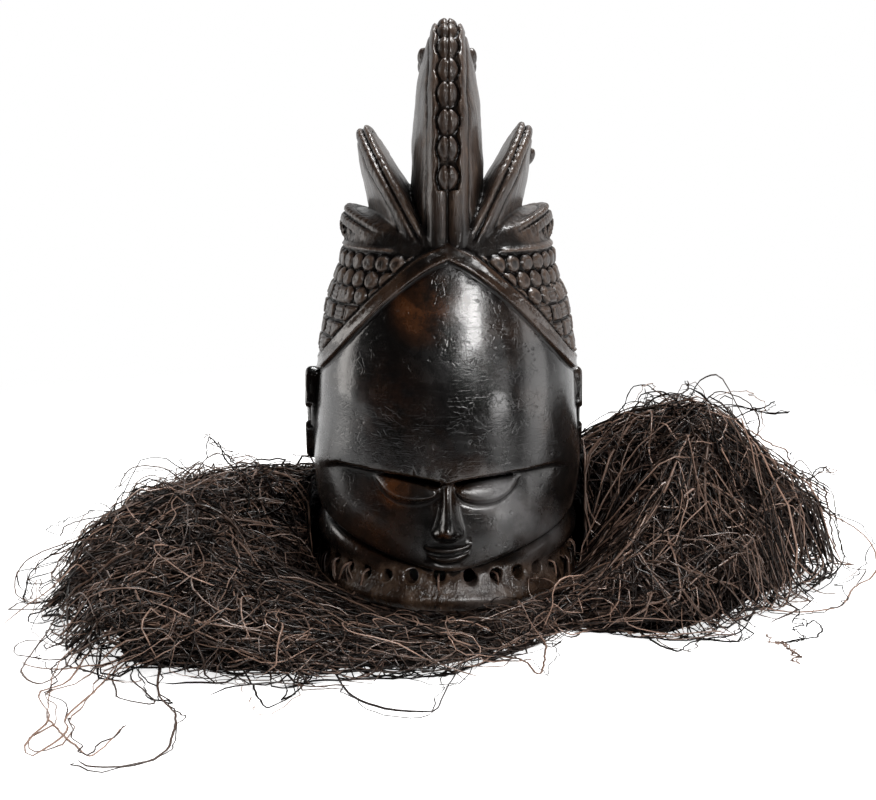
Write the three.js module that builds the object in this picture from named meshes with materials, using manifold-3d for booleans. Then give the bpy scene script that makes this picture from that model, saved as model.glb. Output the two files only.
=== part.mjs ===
// Sowei helmet mask: a hollow carved wooden head, worn over the wearer's head,
// with a tall lobed coiffure, and the heap of loose raffia tied to its rim.
// Millimetres, +Z up, the face looks along -Y, the object stands on Z = 0.
import * as THREE from 'three';
import { ParametricGeometry } from 'three/addons/geometries/ParametricGeometry.js';
import { mergeVertices } from 'three/addons/utils/BufferGeometryUtils.js';
import Module from 'manifold-3d';

const wasm = await Module();
wasm.setup();

// Head
const headWidth = 207;
const headFront = 108;
const headBack = 118;
const crownTop = 300;
const headFullness = 2.2;
const headColumns = 40;
const jawFront = 29;
const jawSide = 68;
const jawBack = 66;
const wall = 12;
const cavityTop = 232;

// Face
const browHeight = 94.5;
const browRise = 6;
const faceRecess = 7;
const slitInner = 8;
const slitOuter = 61;
const slitHeight = 3.6;
const slitInnerLevel = 92.5;
const slitOuterLevel = 101;
const lidLength = 66;
const lidHeight = 21;
const lidSwell = 6;
const noseTip = 126;
const noseTop = 93;
const noseBottom = 54;
const noseWidth = 20.5;
const mouthLevel = 42;
const mouthWidth = 38;
const lipHeight = 8;

// Neck and rim
const rimWidth = 202;
const rimFront = 117;
const rimBack = 118;
const bevelHeight = 9;
const neckTop = 62;
const lashingHoles = 32;
const lashingHoleBore = 8.5;
const lashingHoleLevel = 25;
const lowRollLevel = 46;
const lowRollHeight = 26;
const lowRollOut = 8;
const highRollLevel = 74;
const highRollHeight = 27;
const highRollOut = 12.5;

// Ears
const earLevel = 124.5;
const earHeight = 73;
const earDepth = 32;
const earY = 16;
const earProud = { left: 7.5, right: 2.5 };
const earThickness = 20;
const earRimSize = 5;

// Hairline band
const hairApex = 258;
const hairPoint = 3;
const hairPointWidth = 0.05;
const hairSide = 169;
const hairNape = 96;
const bandWidth = 11;
const bandRelief = 3.6;
const bandRoot = 9;

// Coiffure relief
const reliefColumns = 64;
const beadRows = [251, 239, 227];
const beadSize = 12;
const beadOut = 4.2;
const weaveRow = 13;
const weaveEnd = 148;
const weaveRelief = 2.8;
const latticeLevel = 266;
const latticeHeight = 13;
const latticeOut = 3.4;

// Lobes of the crest: tilt from upright, height where the lobe's plane meets the middle,
// reach from there to the top of the edge, and how far it runs forward and back
const lobeMiddle = 17;
const lobes = {
  middle: { tilt: 0, level: 245, reach: 180, front: 91, back: 88, ridge: 15, ridgeDepth: 8,
    beans: { forward: 7, back: 8 },
    inner: { belly: 19.3, power: 4.3 }, outer: { belly: 19.3, power: 4.3 } },
  upper: { tilt: 27, level: 230, reach: 134, front: 88, back: 86, ridge: 10, ridgeDepth: 6,
    inner: { belly: 6, power: 2 }, outer: { belly: 32, power: 1.8 } },
  lower: { tilt: 66, level: 249, reach: 87.5, front: 85, back: 84, ridge: 11, ridgeDepth: 6,
    inner: { belly: 4, power: 2 }, outer: { belly: 21, power: 10 } },
};
const beanPitch = 21.1;
const beanOut = 5;
const flankBeadPitch = 17;
const flankBeadSize = 11;

// Raffia heap: its plan outline, heights and clearance round the mask
const raffiaClearance = 1;
const raffiaInnerSide = rimWidth / 2 + 6;
const raffiaInnerFront = rimFront + 1.5;
const raffiaInnerBack = rimBack + 3;
const raffiaCutGap = 0.8;
const raffiaLock = 4;
const strandThickness = 2.6;

const deg = Math.PI / 180;
const outwards = new THREE.Vector3();

function smoothStep(low, high, value) {
  const t = Math.min(1, Math.max(0, (value - low) / (high - low)));
  return t * t * (3 - 2 * t);
}

// Smooth curves through rows of [position, value, value, ...]
function curveThrough(rows) {
  const slope = (i, k) => {
    const before = rows[Math.max(0, i - 1)];
    const after = rows[Math.min(rows.length - 1, i + 1)];
    return (after[k] - before[k]) / (after[0] - before[0]);
  };
  return (position) => {
    const p = Math.min(rows[rows.length - 1][0], Math.max(rows[0][0], position));
    let i = 0;
    while (i < rows.length - 2 && p > rows[i + 1][0]) i += 1;
    const span = rows[i + 1][0] - rows[i][0];
    const t = (p - rows[i][0]) / span;
    const values = [];
    for (let k = 1; k < rows[0].length; k += 1) {
      const a = rows[i][k];
      const b = rows[i + 1][k];
      const h = t * t * (3 - 2 * t);
      const s0 = slope(i, k) * span * t * (1 - t) * (1 - t);
      const s1 = slope(i + 1, k) * span * t * t * (t - 1);
      values.push(a + (b - a) * h + s0 + s1);
    }
    return values;
  };
}

// A closed skin from a function of two shares, made into a solid
function solidFrom(geometry) {
  const bare = geometry.index ? geometry.clone() : geometry;
  bare.deleteAttribute('normal');
  bare.deleteAttribute('uv');
  const merged = mergeVertices(bare, 1e-3);
  const vertices = merged.attributes.position.array;
  const faces = [];
  let volume = 0;
  for (let i = 0; i < merged.index.count; i += 3) {
    const [a, b, c] = [0, 1, 2].map((k) => merged.index.getX(i + k));
    if (a === b || b === c || c === a) continue;
    faces.push(a, b, c);
    const [p, q, r] = [a, b, c].map((n) => new THREE.Vector3().fromArray(vertices, n * 3));
    volume += p.dot(q.cross(r));
  }
  if (volume < 0) {
    for (let i = 0; i < faces.length; i += 3) {
      [faces[i], faces[i + 1]] = [faces[i + 1], faces[i]];
    }
  }
  return new wasm.Manifold(new wasm.Mesh({
    numProp: 3,
    vertProperties: Float32Array.from(vertices),
    triVerts: Uint32Array.from(faces),
  }));
}

function skin(place, around, along) {
  return solidFrom(new ParametricGeometry(place, around, along));
}

function joined(solids) {
  return solids.reduce((sum, solid) => sum.add(solid));
}

function meshFrom(solid, name, material) {
  const mesh = solid.getMesh();
  const geometry = new THREE.BufferGeometry();
  geometry.setAttribute('position', new THREE.BufferAttribute(mesh.vertProperties, 3));
  geometry.setIndex(new THREE.BufferAttribute(mesh.triVerts, 1));
  geometry.computeVertexNormals();
  const node = new THREE.Mesh(geometry, material);
  node.name = name;
  return node;
}

// Outline of a level section: angle 0 faces front, a quarter turn is +X
function onSection(angle, halfWidth, front, back, fullness, target) {
  const s = Math.sin(angle);
  const c = Math.cos(angle);
  const power = 2 / fullness;
  const depth = c > 0 ? front : back;
  const x = halfWidth * Math.sign(s) * Math.abs(s) ** power;
  const y = -depth * Math.sign(c) * Math.abs(c) ** power;
  outwards.set(x / halfWidth ** 2, y / depth ** 2, 0).normalize();
  return target.set(x, y, 0);
}

// Head sizes by height: shares of the crown height, width, front and back
const headSizes = curveThrough([
  [0.1, 0.93, 0.995, 0.82],
  [0.2, 0.971, 1.006, 0.87],
  [0.317, 1, 1, 0.93],
  [0.457, 0.96, 0.988, 0.985],
  [0.56, 0.942, 0.95, 1],
  [0.717, 0.874, 0.83, 0.96],
  [0.817, 0.775, 0.735, 0.9],
  [0.87, 0.75, 0.67, 0.86],
  [0.93, 0.66, 0.52, 0.74],
  [0.975, 0.42, 0.33, 0.5],
]);

function onHead(angle, height, lift, target) {
  const [width, front, back] = headSizes(height / crownTop);
  onSection(angle, headWidth / 2 * width, headFront * front, headBack * back, headFullness, target);
  target.addScaledVector(outwards, lift);
  target.z = height;
  return target;
}

function jawLevel(angle) {
  const turn = Math.abs(Math.sin(angle / 2));
  const side = Math.SQRT1_2;
  return turn < side
    ? jawFront + (jawSide - jawFront) * turn / side
    : jawSide + (jawBack - jawSide) * (turn - side) / (1 - side);
}

function browLevel(angle) {
  const x = Math.abs(Math.sin(angle));
  return browHeight + browRise * smoothStep(0.05, 0.5, x) * (1 - smoothStep(0.7, 1, x));
}

function hairLevel(angle) {
  const turn = Math.abs(Math.atan2(Math.sin(angle), Math.cos(angle)));
  if (turn < Math.PI / 2) {
    const arch = hairApex - (hairApex - hairSide) * Math.sin(turn) ** 1.64;
    return arch + hairPoint * Math.exp(-Math.sin(turn) / hairPointWidth);
  }
  return hairNape + (hairSide - hairNape) * (1 - smoothStep(98 * deg, 160 * deg, turn));
}

// Whether the coiffure's relief covers the head at an angle and level
function underRelief(angle, level) {
  if (level > beadRows[0] + beadSize && Math.abs(Math.sin(angle)) < 0.45) return false;
  return level > Math.max(hairLevel(angle) + 2, weaveEnd) && level < latticeLevel + latticeHeight / 2 + 3;
}

// Share of the brow's overhang that is cut back at an angle
function faceShare(angle) {
  return Math.cos(angle) > 0 ? 1 - smoothStep(0.72, 0.99, Math.abs(Math.sin(angle))) : 0;
}

function headMass() {
  const rows = [
    (a) => [jawLevel(a) + 9, -15],
    (a) => [jawLevel(a) + 1.5, -3],
    (a) => [jawLevel(a) + 6, 0],
    (a) => [THREE.MathUtils.lerp(jawLevel(a), browLevel(a), 0.4), -0.3 * faceRecess * faceShare(a)],
    (a) => [THREE.MathUtils.lerp(jawLevel(a), browLevel(a), 0.68), -0.65 * faceRecess * faceShare(a)],
    (a) => [browLevel(a) - 3.5, -faceRecess * faceShare(a)],
    (a) => [browLevel(a) + 0.5, -0.15 * faceRecess * faceShare(a)],
    (a) => [browLevel(a) + 9, 0],
  ];
  const levels = [128, 156, 184, 210, 234, 254, 268, 281, 292];
  levels.forEach((level) => rows.push((a) => [level, underRelief(a, level) ? -5 : 0]));
  const rings = rows.length + 1;
  return skin((u, v, target) => {
    const angle = u * 2 * Math.PI;
    const ring = Math.round(v * rings);
    if (ring === 0) return target.set(0, 0, jawSide + 10);
    if (ring === rings) return target.set(0, lobeMiddle, crownTop);
    const [height, lift] = rows[ring - 1](angle);
    return onHead(angle, height, lift, target);
  }, headColumns, rings);
}

// Neck and rim sizes by height: half width, front, back
const rimSizes = curveThrough([
  [0, rimWidth / 2 - 4, rimFront - 4, rimBack - 4],
  [bevelHeight, rimWidth / 2, rimFront, rimBack],
  [lashingHoleLevel - 9, rimWidth / 2 - 2, rimFront - 4, rimBack - 2],
  [lashingHoleLevel + 8, rimWidth / 2 - 6, rimFront - 14, rimBack - 9],
  [neckTop, rimWidth / 2 - 10, rimFront - 22, rimBack - 14],
]);

// The neck with its two fleshy rings: the low one fades out under the chin, the high one at the cheeks
function neck() {
  const lowShare = (turn) => smoothStep(0.14, 0.6, turn);
  const highShare = (turn) => smoothStep(0.56, 0.74, turn);
  const ring = (level, height, out, share) => [
    [level - height * 0.42, (turn) => out * 0.6 * share(turn)],
    [level - height * 0.2, (turn) => out * share(turn)],
    [level + height * 0.2, (turn) => out * share(turn)],
  ];
  const rows = [
    [0, () => 0], [bevelHeight, () => 0], [lashingHoleLevel - 9, () => 0],
    [lashingHoleLevel + 8, () => 0],
    ...ring(lowRollLevel, lowRollHeight, lowRollOut, lowShare),
    [(lowRollLevel + highRollLevel + (lowRollHeight - highRollHeight) / 2) / 2, (turn) => 4 * lowShare(turn)],
    ...ring(highRollLevel, highRollHeight, highRollOut, highShare).slice(1),
    [highRollLevel + highRollHeight / 2, (turn) => 4 * highShare(turn)],
  ];
  const rings = rows.length + 1;
  return skin((u, v, target) => {
    const index = Math.round(v * rings);
    if (index === 0) return target.set(0, 0, 0);
    if (index === rings) return target.set(0, 0, rows[rings - 2][0]);
    const angle = u * 2 * Math.PI;
    const [level, lift] = rows[index - 1];
    const [width, front, back] = rimSizes(level);
    onSection(angle, width, front, back, headFullness, target);
    target.addScaledVector(outwards, lift(Math.abs(Math.sin(angle / 2))));
    return target.setZ(level);
  }, lashingHoles, rings);
}

// Nose: level sections from the brow down to the tip
function nose() {
  const sections = curveThrough([
    [noseBottom, 0.34 * noseWidth, 0.45],
    [noseBottom + 3, 0.48 * noseWidth, 0.86],
    [noseBottom + 8, 0.5 * noseWidth, 1],
    [noseBottom + 18, 0.36 * noseWidth, 0.78],
    [noseTop - 6, 0.2 * noseWidth, 0.35],
    [noseTop + 4, 0.16 * noseWidth, 0.15],
  ]);
  const foot = headFront - faceRecess - 6;
  return skin((u, v, target) => {
    const level = noseBottom + (noseTop + 4 - noseBottom) * Math.min(1, Math.max(0, (v - 0.125) / 0.75));
    const [half, proud] = sections(level);
    const width = v === 0 || v === 1 ? 0 : half;
    const round = u * 2 * Math.PI;
    const depth = foot + (noseTip - foot) * proud * (0.5 + 0.5 * Math.cos(round));
    return target.set(width * Math.sin(round), v === 0 || v === 1 ? -foot : -depth, level);
  }, 8, 8);
}

// A swelling laid on the face: length across, height up, bent to the head
function faceSwelling(x, level, length, height, swell, rise, faceLift) {
  const place = new THREE.Vector3();
  const ball = new THREE.SphereGeometry(1, 10, 6);
  const points = ball.attributes.position;
  for (let i = 0; i < points.count; i += 1) {
    const across = x + points.getX(i) * length / 2;
    const bend = rise * (points.getX(i) * Math.sign(x || 1) + (x ? 0 : points.getX(i) ** 2));
    const up = level + points.getY(i) * height / 2 + (x ? bend : rise * points.getX(i) ** 2);
    const angle = Math.asin(Math.min(0.98, Math.abs(across) / (headWidth / 2)) ** (headFullness / 2));
    onHead(angle * Math.sign(across), up, faceLift + points.getZ(i) * swell, place);
    points.setXYZ(i, across, place.y, up);
  }
  return solidFrom(ball);
}

function faceDetails() {
  const lift = -0.75 * faceRecess;
  return [
    nose(),
    faceSwelling(36, 84.5, lidLength, lidHeight, lidSwell, 6, lift),
    faceSwelling(-36, 84.5, lidLength, lidHeight, lidSwell, 6, lift),
    faceSwelling(0, mouthLevel + lipHeight / 2, mouthWidth, lipHeight, 5.5, 3, -1),
    faceSwelling(0, mouthLevel - lipHeight / 2 + 0.5, mouthWidth * 0.82, lipHeight, 5, 3.5, -1),
  ];
}

// The eye slits go through the wall
function eyeSlit(side) {
  const outline = new THREE.Shape();
  const half = slitHeight / 2;
  const thirdX = THREE.MathUtils.lerp(slitInner, slitOuter, 0.35);
  const thirdZ = THREE.MathUtils.lerp(slitInnerLevel, slitOuterLevel, 0.3);
  outline.moveTo(side * slitInner, slitInnerLevel);
  outline.lineTo(side * thirdX, thirdZ - half);
  outline.lineTo(side * slitOuter, slitOuterLevel - half * 0.4);
  outline.lineTo(side * slitOuter, slitOuterLevel + half * 0.4);
  outline.lineTo(side * thirdX, thirdZ + half);
  const cut = new THREE.ExtrudeGeometry(outline, { depth: headFront - 30, bevelEnabled: false, steps: 1 });
  cut.rotateX(Math.PI / 2);
  cut.translate(0, -40, 0);
  return solidFrom(cut);
}

function lashingHole(index) {
  const angle = (index + 0.5) / lashingHoles * 2 * Math.PI;
  const start = new THREE.Vector3();
  const [width, front, back] = rimSizes(lashingHoleLevel);
  onSection(angle, width, front, back, headFullness, start);
  const bore = new THREE.CylinderGeometry(lashingHoleBore / 2, lashingHoleBore / 2, wall * 4, 5);
  bore.rotateZ(Math.PI / 2);
  bore.rotateZ(Math.atan2(outwards.y, outwards.x));
  bore.translate(start.x, start.y, lashingHoleLevel);
  return solidFrom(bore);
}

// The hollow for the wearer's head, a wall inside the neck and the head
function cavity() {
  const levels = [-3, lashingHoleLevel - 10, lashingHoleLevel + 10, 72, 105, 140, 172, 200, 220];
  const rings = levels.length + 1;
  return skin((u, v, target) => {
    const ring = Math.round(v * rings);
    if (ring === 0) return target.set(0, 0, levels[0]);
    if (ring === rings) return target.set(0, lobeMiddle, cavityTop);
    const level = levels[ring - 1];
    const neck = rimSizes(Math.max(0, level));
    const head = headSizes(level / crownTop);
    const blend = smoothStep(38, 80, level);
    const closing = Math.sqrt(Math.max(0, 1 - ((level - 120) / (cavityTop - 120)) ** 2));
    const arch = level > 120 ? closing ** 0.7 : 1;
    const size = (k, whole) => {
      const outer = THREE.MathUtils.lerp(neck[k], whole * head[k], blend);
      return (outer - wall - (k === 1 ? faceRecess * blend * (1 - smoothStep(105, 140, level)) : 0)) * arch;
    };
    onSection(u * 2 * Math.PI, size(0, headWidth / 2), size(1, headFront), size(2, headBack), 2.1, target);
    return target.setZ(level);
  }, lashingHoles, rings);
}

// An ear: a flat plate with a raised, scalloped rim, open towards the face
function ear(side) {
  const out = headWidth / 2 + (side < 0 ? earProud.left : earProud.right);
  const inset = earRimSize - 1;
  const plate = new THREE.CylinderGeometry(earDepth / 2, earDepth / 2, earThickness, 12);
  plate.rotateZ(Math.PI / 2);
  plate.scale(1, 1, earHeight / earDepth);
  plate.translate(side * (out - inset - earThickness / 2), earY, earLevel);
  const arc = [];
  for (let i = 0; i <= 8; i += 1) {
    const turn = (-150 + i * 37.5) * deg;
    const scallop = 1 - 0.06 * (i % 2);
    const y = earY + Math.cos(turn) * (earDepth / 2 - inset) * scallop;
    const z = earLevel + Math.sin(turn) * (earHeight / 2 - inset) * scallop;
    arc.push(new THREE.Vector3(side * (out - earRimSize), y, z));
  }
  const bar = new THREE.Shape();
  bar.absellipse(0, 0, earRimSize, earRimSize, 0, 2 * Math.PI, false, Math.PI / 4);
  const rim = new THREE.ExtrudeGeometry(bar, {
    extrudePath: new THREE.CatmullRomCurve3(arc), steps: 8, curveSegments: 4, bevelEnabled: false,
  });
  return solidFrom(plate).add(solidFrom(rim));
}

// The raised double ridge along the hairline, round the whole head
function hairBand() {
  const half = bandWidth / 2;
  const section = [
    [-half, -bandRoot], [-0.6 * half, bandRelief], [0, 0.45 * bandRelief],
    [0.6 * half, bandRelief], [half, -bandRoot],
  ];
  const here = new THREE.Vector3();
  const next = new THREE.Vector3();
  return skin((u, v, target) => {
    const angle = u * 2 * Math.PI;
    onHead(angle + 0.01, hairLevel(angle + 0.01), 0, next);
    onHead(angle, hairLevel(angle), 0, here);
    const along = next.sub(here).normalize();
    const across = new THREE.Vector3().crossVectors(outwards, along).normalize();
    const [side, lift] = section[Math.round(v * section.length) % section.length];
    return target.copy(here).addScaledVector(across, side).addScaledVector(outwards, lift);
  }, 40, section.length);
}

// Relief of the coiffure by level, from the lobes down: how proud it stands at even and
// odd steps round the head. Triangles come first, then beads, then woven blocks
function coiffureLevels() {
  const half = latticeHeight / 2;
  const levels = [
    [latticeLevel + half + 6, -6, -6],
    [latticeLevel + half, latticeOut, 0.4],
    [latticeLevel - half + 3, 0.4, latticeOut],
    [beadRows[0] + beadSize / 2, 0, 0],
  ];
  beadRows.forEach((level, row) => {
    levels.push(row % 2 ? [level, 0, beadOut] : [level, beadOut, 0]);
    levels.push([level - beadSize / 2, 0, 0]);
  });
  const weaveTop = beadRows[beadRows.length - 1] - beadSize / 2 - weaveRow / 2;
  for (let level = weaveTop, row = 0; level > weaveEnd; level -= weaveRow, row += 1) {
    const [even, odd] = row % 2 ? [weaveRelief, 0.4] : [0.4, weaveRelief];
    levels.push([level, even, odd]);
  }
  return levels;
}

function coiffureRelief() {
  const levels = coiffureLevels();
  const rows = levels.length + 1;
  return skin((u, v, target) => {
    const column = Math.round(u * reliefColumns) % reliefColumns;
    const row = Math.round(v * rows);
    const angle = column / reliefColumns * 2 * Math.PI;
    if (row === 0) return target.set(0, 0, levels[0][0]);
    if (row === rows) return target.set(0, 0, levels[rows - 2][0]);
    const [level, even, odd] = levels[row - 1];
    const lift = column % 2 ? odd : even;
    return onHead(angle, level, underRelief(angle, level) ? lift : -8, target);
  }, reliefColumns, rows);
}

// A point in a lobe: turn round its edge, share of the way out, and offset across it
function onLobe(lobe, side, turn, share, offset, target) {
  const depthBelow = Math.min(16, lobe.reach);
  const up = Math.sin(turn) > 0 ? lobe.reach : depthBelow;
  const run = Math.cos(turn) > 0 ? lobe.front : lobe.back;
  const out = share * up * Math.sin(turn);
  const lean = lobe.tilt * deg;
  const x = out * Math.sin(lean) + offset * Math.cos(lean);
  const z = lobe.level + out * Math.cos(lean) - offset * Math.sin(lean);
  return target.set(side * x, lobeMiddle - share * run * Math.cos(turn), z);
}

function edgeDistance(lobe, turn) {
  const up = Math.sin(turn) > 0 ? lobe.reach : Math.min(16, lobe.reach);
  const run = Math.cos(turn) > 0 ? lobe.front : lobe.back;
  return Math.hypot(run * Math.cos(turn), up * Math.sin(turn));
}

// Where a lobe's sections stand, with the beads' share of relief at each
function lobeStops(lobe) {
  const stops = [];
  const spread = (from, to, count) => {
    for (let i = 0; i < count; i += 1) {
      stops.push([THREE.MathUtils.lerp(from, to, i / count), 0]);
    }
  };
  if (!lobe.beans) {
    spread(0, Math.PI, 12);
  } else {
    const forward = turnsAlong(lobe, -1, beanPitch / 2, lobe.beans.forward * 2 + 1, 1, 0).reverse();
    const rear = turnsAlong(lobe, 1, beanPitch / 2, lobe.beans.back * 2 + 1, 1, 0);
    spread(0, forward[0], 2);
    forward.forEach((turn, i) => stops.push([turn, i % 2]));
    stops.push([Math.PI / 2, 1]);
    rear.forEach((turn, i) => stops.push([turn, i % 2]));
    spread(THREE.MathUtils.lerp(rear[rear.length - 1], Math.PI, 0.5), Math.PI, 1);
  }
  spread(Math.PI, 2 * Math.PI, 3);
  stops.push([2 * Math.PI, 0]);
  return stops;
}

// Across a lobe the skin runs from the inner flank over the double ridge to the outer flank
function lobeBody(lobe, side) {
  const edge = lobe.ridge / 2;
  const stops = lobeStops(lobe);
  const flank = (form, q) => edge + form.belly * (1 - q ** form.power);
  const steps = 11;
  return skin((u, v, target) => {
    const [turn, bean] = stops[Math.round(u * (stops.length - 1))];
    const reach = edgeDistance(lobe, turn);
    const ridge = 1 - lobe.ridgeDepth / reach;
    const step = Math.round(v * steps);
    if (step === 5 || step === 6) {
      const groove = 1 - (lobe.beans ? 1.5 : 2.5) / reach;
      return onLobe(lobe, side, turn, groove, step === 5 ? -0.8 : 0.8, target);
    }
    const inner = step < 5;
    const index = inner ? step : steps - step;
    const form = inner ? lobe.inner : lobe.outer;
    const shares = [0, 0.58, 0.84];
    let share = index < 3 ? Math.min(shares[index], ridge - 0.03) : ridge;
    let thick = index === 3 ? edge : flank(form, share);
    if (index === 4) {
      share = 1 + (lobe.beans ? -1.5 + bean * beanOut : 0) / reach;
      thick = edge * (0.62 + 0.1 * bean);
    }
    return onLobe(lobe, side, turn, share, inner ? -thick : thick, target);
  }, stops.length - 1, steps);
}

// Turns round a lobe's edge at an even pitch, from its top forward (-1) or back (1), with
// the first one a pitch less the start away
function turnsAlong(lobe, way, pitch, count, share, start) {
  const here = new THREE.Vector3();
  const last = new THREE.Vector3();
  const turns = [];
  let travelled = start;
  onLobe(lobe, 1, Math.PI / 2, share, 0, last);
  for (let turn = Math.PI / 2; turns.length < count && Math.sin(turn) > 0; turn += way * 0.005) {
    onLobe(lobe, 1, turn, share, 0, here);
    travelled += here.distanceTo(last);
    last.copy(here);
    if (travelled > pitch) {
      travelled -= pitch;
      turns.push(turn);
    }
  }
  return turns;
}

// Rows of beads down the rear half of the lobes' outer flanks
function flankBeads() {
  const beads = [];
  const place = new THREE.Vector3();
  const plan = [[lobes.middle, 0.86, 5], [lobes.upper, 0.84, 4]];
  plan.forEach(([lobe, share, count]) => {
    const turns = turnsAlong(lobe, 1, flankBeadPitch, count, share, flankBeadPitch / 2);
    turns.forEach((turn) => [-1, 1].forEach((side) => {
      const out = lobe.ridge / 2 + lobe.outer.belly * (1 - share ** lobe.outer.power);
      onLobe(lobe, side, turn, share, out, place);
      const ball = new THREE.OctahedronGeometry(1, 0);
      ball.scale(4, flankBeadSize / 2, flankBeadSize / 2);
      ball.rotateY(-side * lobe.tilt * deg);
      ball.translate(place.x, place.y, place.z);
      beads.push(solidFrom(ball));
    }));
  });
  return beads;
}

function woodenMask() {
  const crest = [
    lobeBody(lobes.middle, 1),
    lobeBody(lobes.upper, 1), lobeBody(lobes.upper, -1),
    lobeBody(lobes.lower, 1), lobeBody(lobes.lower, -1),
  ];
  const body = joined([
    headMass(), neck(),
    ...faceDetails(), ear(-1), ear(1), hairBand(), coiffureRelief(), ...crest, ...flankBeads(),
  ]);
  const cuts = [cavity(), eyeSlit(-1), eyeSlit(1)];
  for (let i = 0; i < lashingHoles; i += 1) cuts.push(lashingHole(i));
  return body.subtract(joined(cuts));
}

// Raffia heap by direction in degrees from the front, + towards +X: how far it reaches,
// its height beside the mask, half way out and near its edge
const heapRows = [
  [-180, 165, 46, 40, 20],
  [-150, 195, 56, 48, 22],
  [-120, 262, 72, 66, 32],
  [-95, 325, 62, 84, 44],
  [-75, 338, 30, 84, 46],
  [-60, 345, 20, 72, 44],
  [-45, 352, 14, 50, 38],
  [-28, 316, 8, 32, 28],
  [-12, 272, 3, 22, 22],
  [0, 254, 3, 18, 19],
  [14, 232, 3, 16, 16],
  [30, 222, 5, 20, 18],
  [45, 252, 10, 50, 36],
  [60, 290, 18, 96, 58],
  [75, 308, 34, 124, 74],
  [90, 318, 66, 130, 76],
  [110, 290, 80, 104, 56],
  [135, 218, 60, 62, 32],
  [180, 165, 46, 40, 20],
];
const heapSizes = curveThrough(heapRows);

function heap() {
  const shares = [0, 0, 0.24, 0.5, 0.78, 0.95, 1, 1];
  const inner = new THREE.Vector3();
  return skin((u, v, target) => {
    const turn = (u * 2 - 1) * Math.PI;
    const [reach, near, half, far] = heapSizes(turn / deg);
    const clear = raffiaClearance;
    onSection(turn, raffiaInnerSide + clear, raffiaInnerFront + clear, raffiaInnerBack + clear, 2.3, inner);
    const index = Math.round(v * shares.length) % shares.length;
    const heights = [0, near, (near + half) * 0.53, half, far, far * 0.4, 5, 0];
    const wave = index > 1 && index < 6 ? raffiaLock * Math.sin(turn * 23 + index * 2.1) : 0;
    const edgeWave = index > 4 ? raffiaLock * Math.sin(turn * 17) : 0;
    const x = (reach + edgeWave) * Math.sin(turn);
    const y = -(reach + edgeWave) * Math.cos(turn);
    const share = shares[index];
    target.set(THREE.MathUtils.lerp(inner.x, x, share), THREE.MathUtils.lerp(inner.y, y, share), 0);
    target.z = Math.max(index === 0 || index === 7 ? 0 : 3, heights[index] + wave);
    return target;
  }, 52, shares.length);
}

// A stray strand that lies out past the heap, low on the ground or lifted a little
function strand(points) {
  const half = strandThickness / 2;
  const bar = new THREE.Shape();
  bar.moveTo(-half, -half);
  bar.lineTo(half, -half);
  bar.lineTo(half, half);
  bar.lineTo(-half, half);
  const path = new THREE.CatmullRomCurve3(points.map(([x, y, z]) => new THREE.Vector3(x, y, z + half)));
  return solidFrom(new THREE.ExtrudeGeometry(bar, {
    extrudePath: path, steps: (points.length - 1) * 2, bevelEnabled: false,
  }));
}

const strands = {
  left: [
    [[-230, -190, 14], [-262, -226, 5], [-238, -300, 2], [-228, -380, 2], [-182, -404, 2], [-162, -350, 2],
      [-150, -280, 3], [-140, -220, 16]],
    [[-290, -70, 20], [-326, -40, 12], [-338, 18, 8], [-318, 60, 12], [-280, 40, 24]],
    [[-250, -160, 20], [-296, -190, 5], [-304, -250, 2], [-268, -300, 2], [-236, -250, 4], [-210, -180, 24]],
  ],
  right: [
    [[270, -40, 24], [318, -34, 22], [333, 6, 16], [318, 40, 10], [280, 30, 26]],
    [[190, 0, 110], [236, -6, 134], [262, 10, 118], [240, 30, 70]],
  ],
};

// One sector of the heap between two directions, cut back by half the gap on each side
function sector(whole, from, to) {
  const reach = 900;
  const outline = new THREE.Shape();
  const middle = (from + to) / 2 * deg;
  const back = raffiaCutGap / 2 / Math.sin((to - from) / 2 * deg);
  const ox = back * Math.sin(middle);
  const oy = -back * Math.cos(middle);
  outline.moveTo(ox, oy);
  for (let i = 0; i <= 4; i += 1) {
    const turn = THREE.MathUtils.lerp(from, to, i / 4) * deg;
    outline.lineTo(ox + reach * Math.sin(turn), oy - reach * Math.cos(turn));
  }
  const wedge = new THREE.ExtrudeGeometry(outline, { depth: 400, bevelEnabled: false, steps: 1 });
  wedge.translate(0, 0, -100);
  return whole.intersect(solidFrom(wedge));
}

const wood = new THREE.MeshStandardMaterial({ color: 0x1c1613, roughness: 0.35, metalness: 0 });
const raffia = new THREE.MeshStandardMaterial({ color: 0x2a1e19, roughness: 0.8, metalness: 0 });

const pile = heap();
const raffiaParts = {
  raffia_front: sector(pile, -24, 38),
  raffia_right: joined([sector(pile, 38, 130), ...strands.right.map(strand)]),
  raffia_left: joined([sector(pile, -130, -24), ...strands.left.map(strand)]),
  raffia_back: sector(pile, 130, 230),
};

const object = new THREE.Group();
object.add(meshFrom(woodenMask(), 'wooden_mask', wood));
Object.entries(raffiaParts).forEach(([name, solid]) => object.add(meshFrom(solid, name, raffia)));

// The origin goes to the middle of the object's footprint
const bounds = new THREE.Box3().setFromObject(object);
const centre = bounds.getCenter(new THREE.Vector3());
object.position.set(-centre.x, -centre.y, -bounds.min.z);

export default object;
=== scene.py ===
import math

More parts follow.
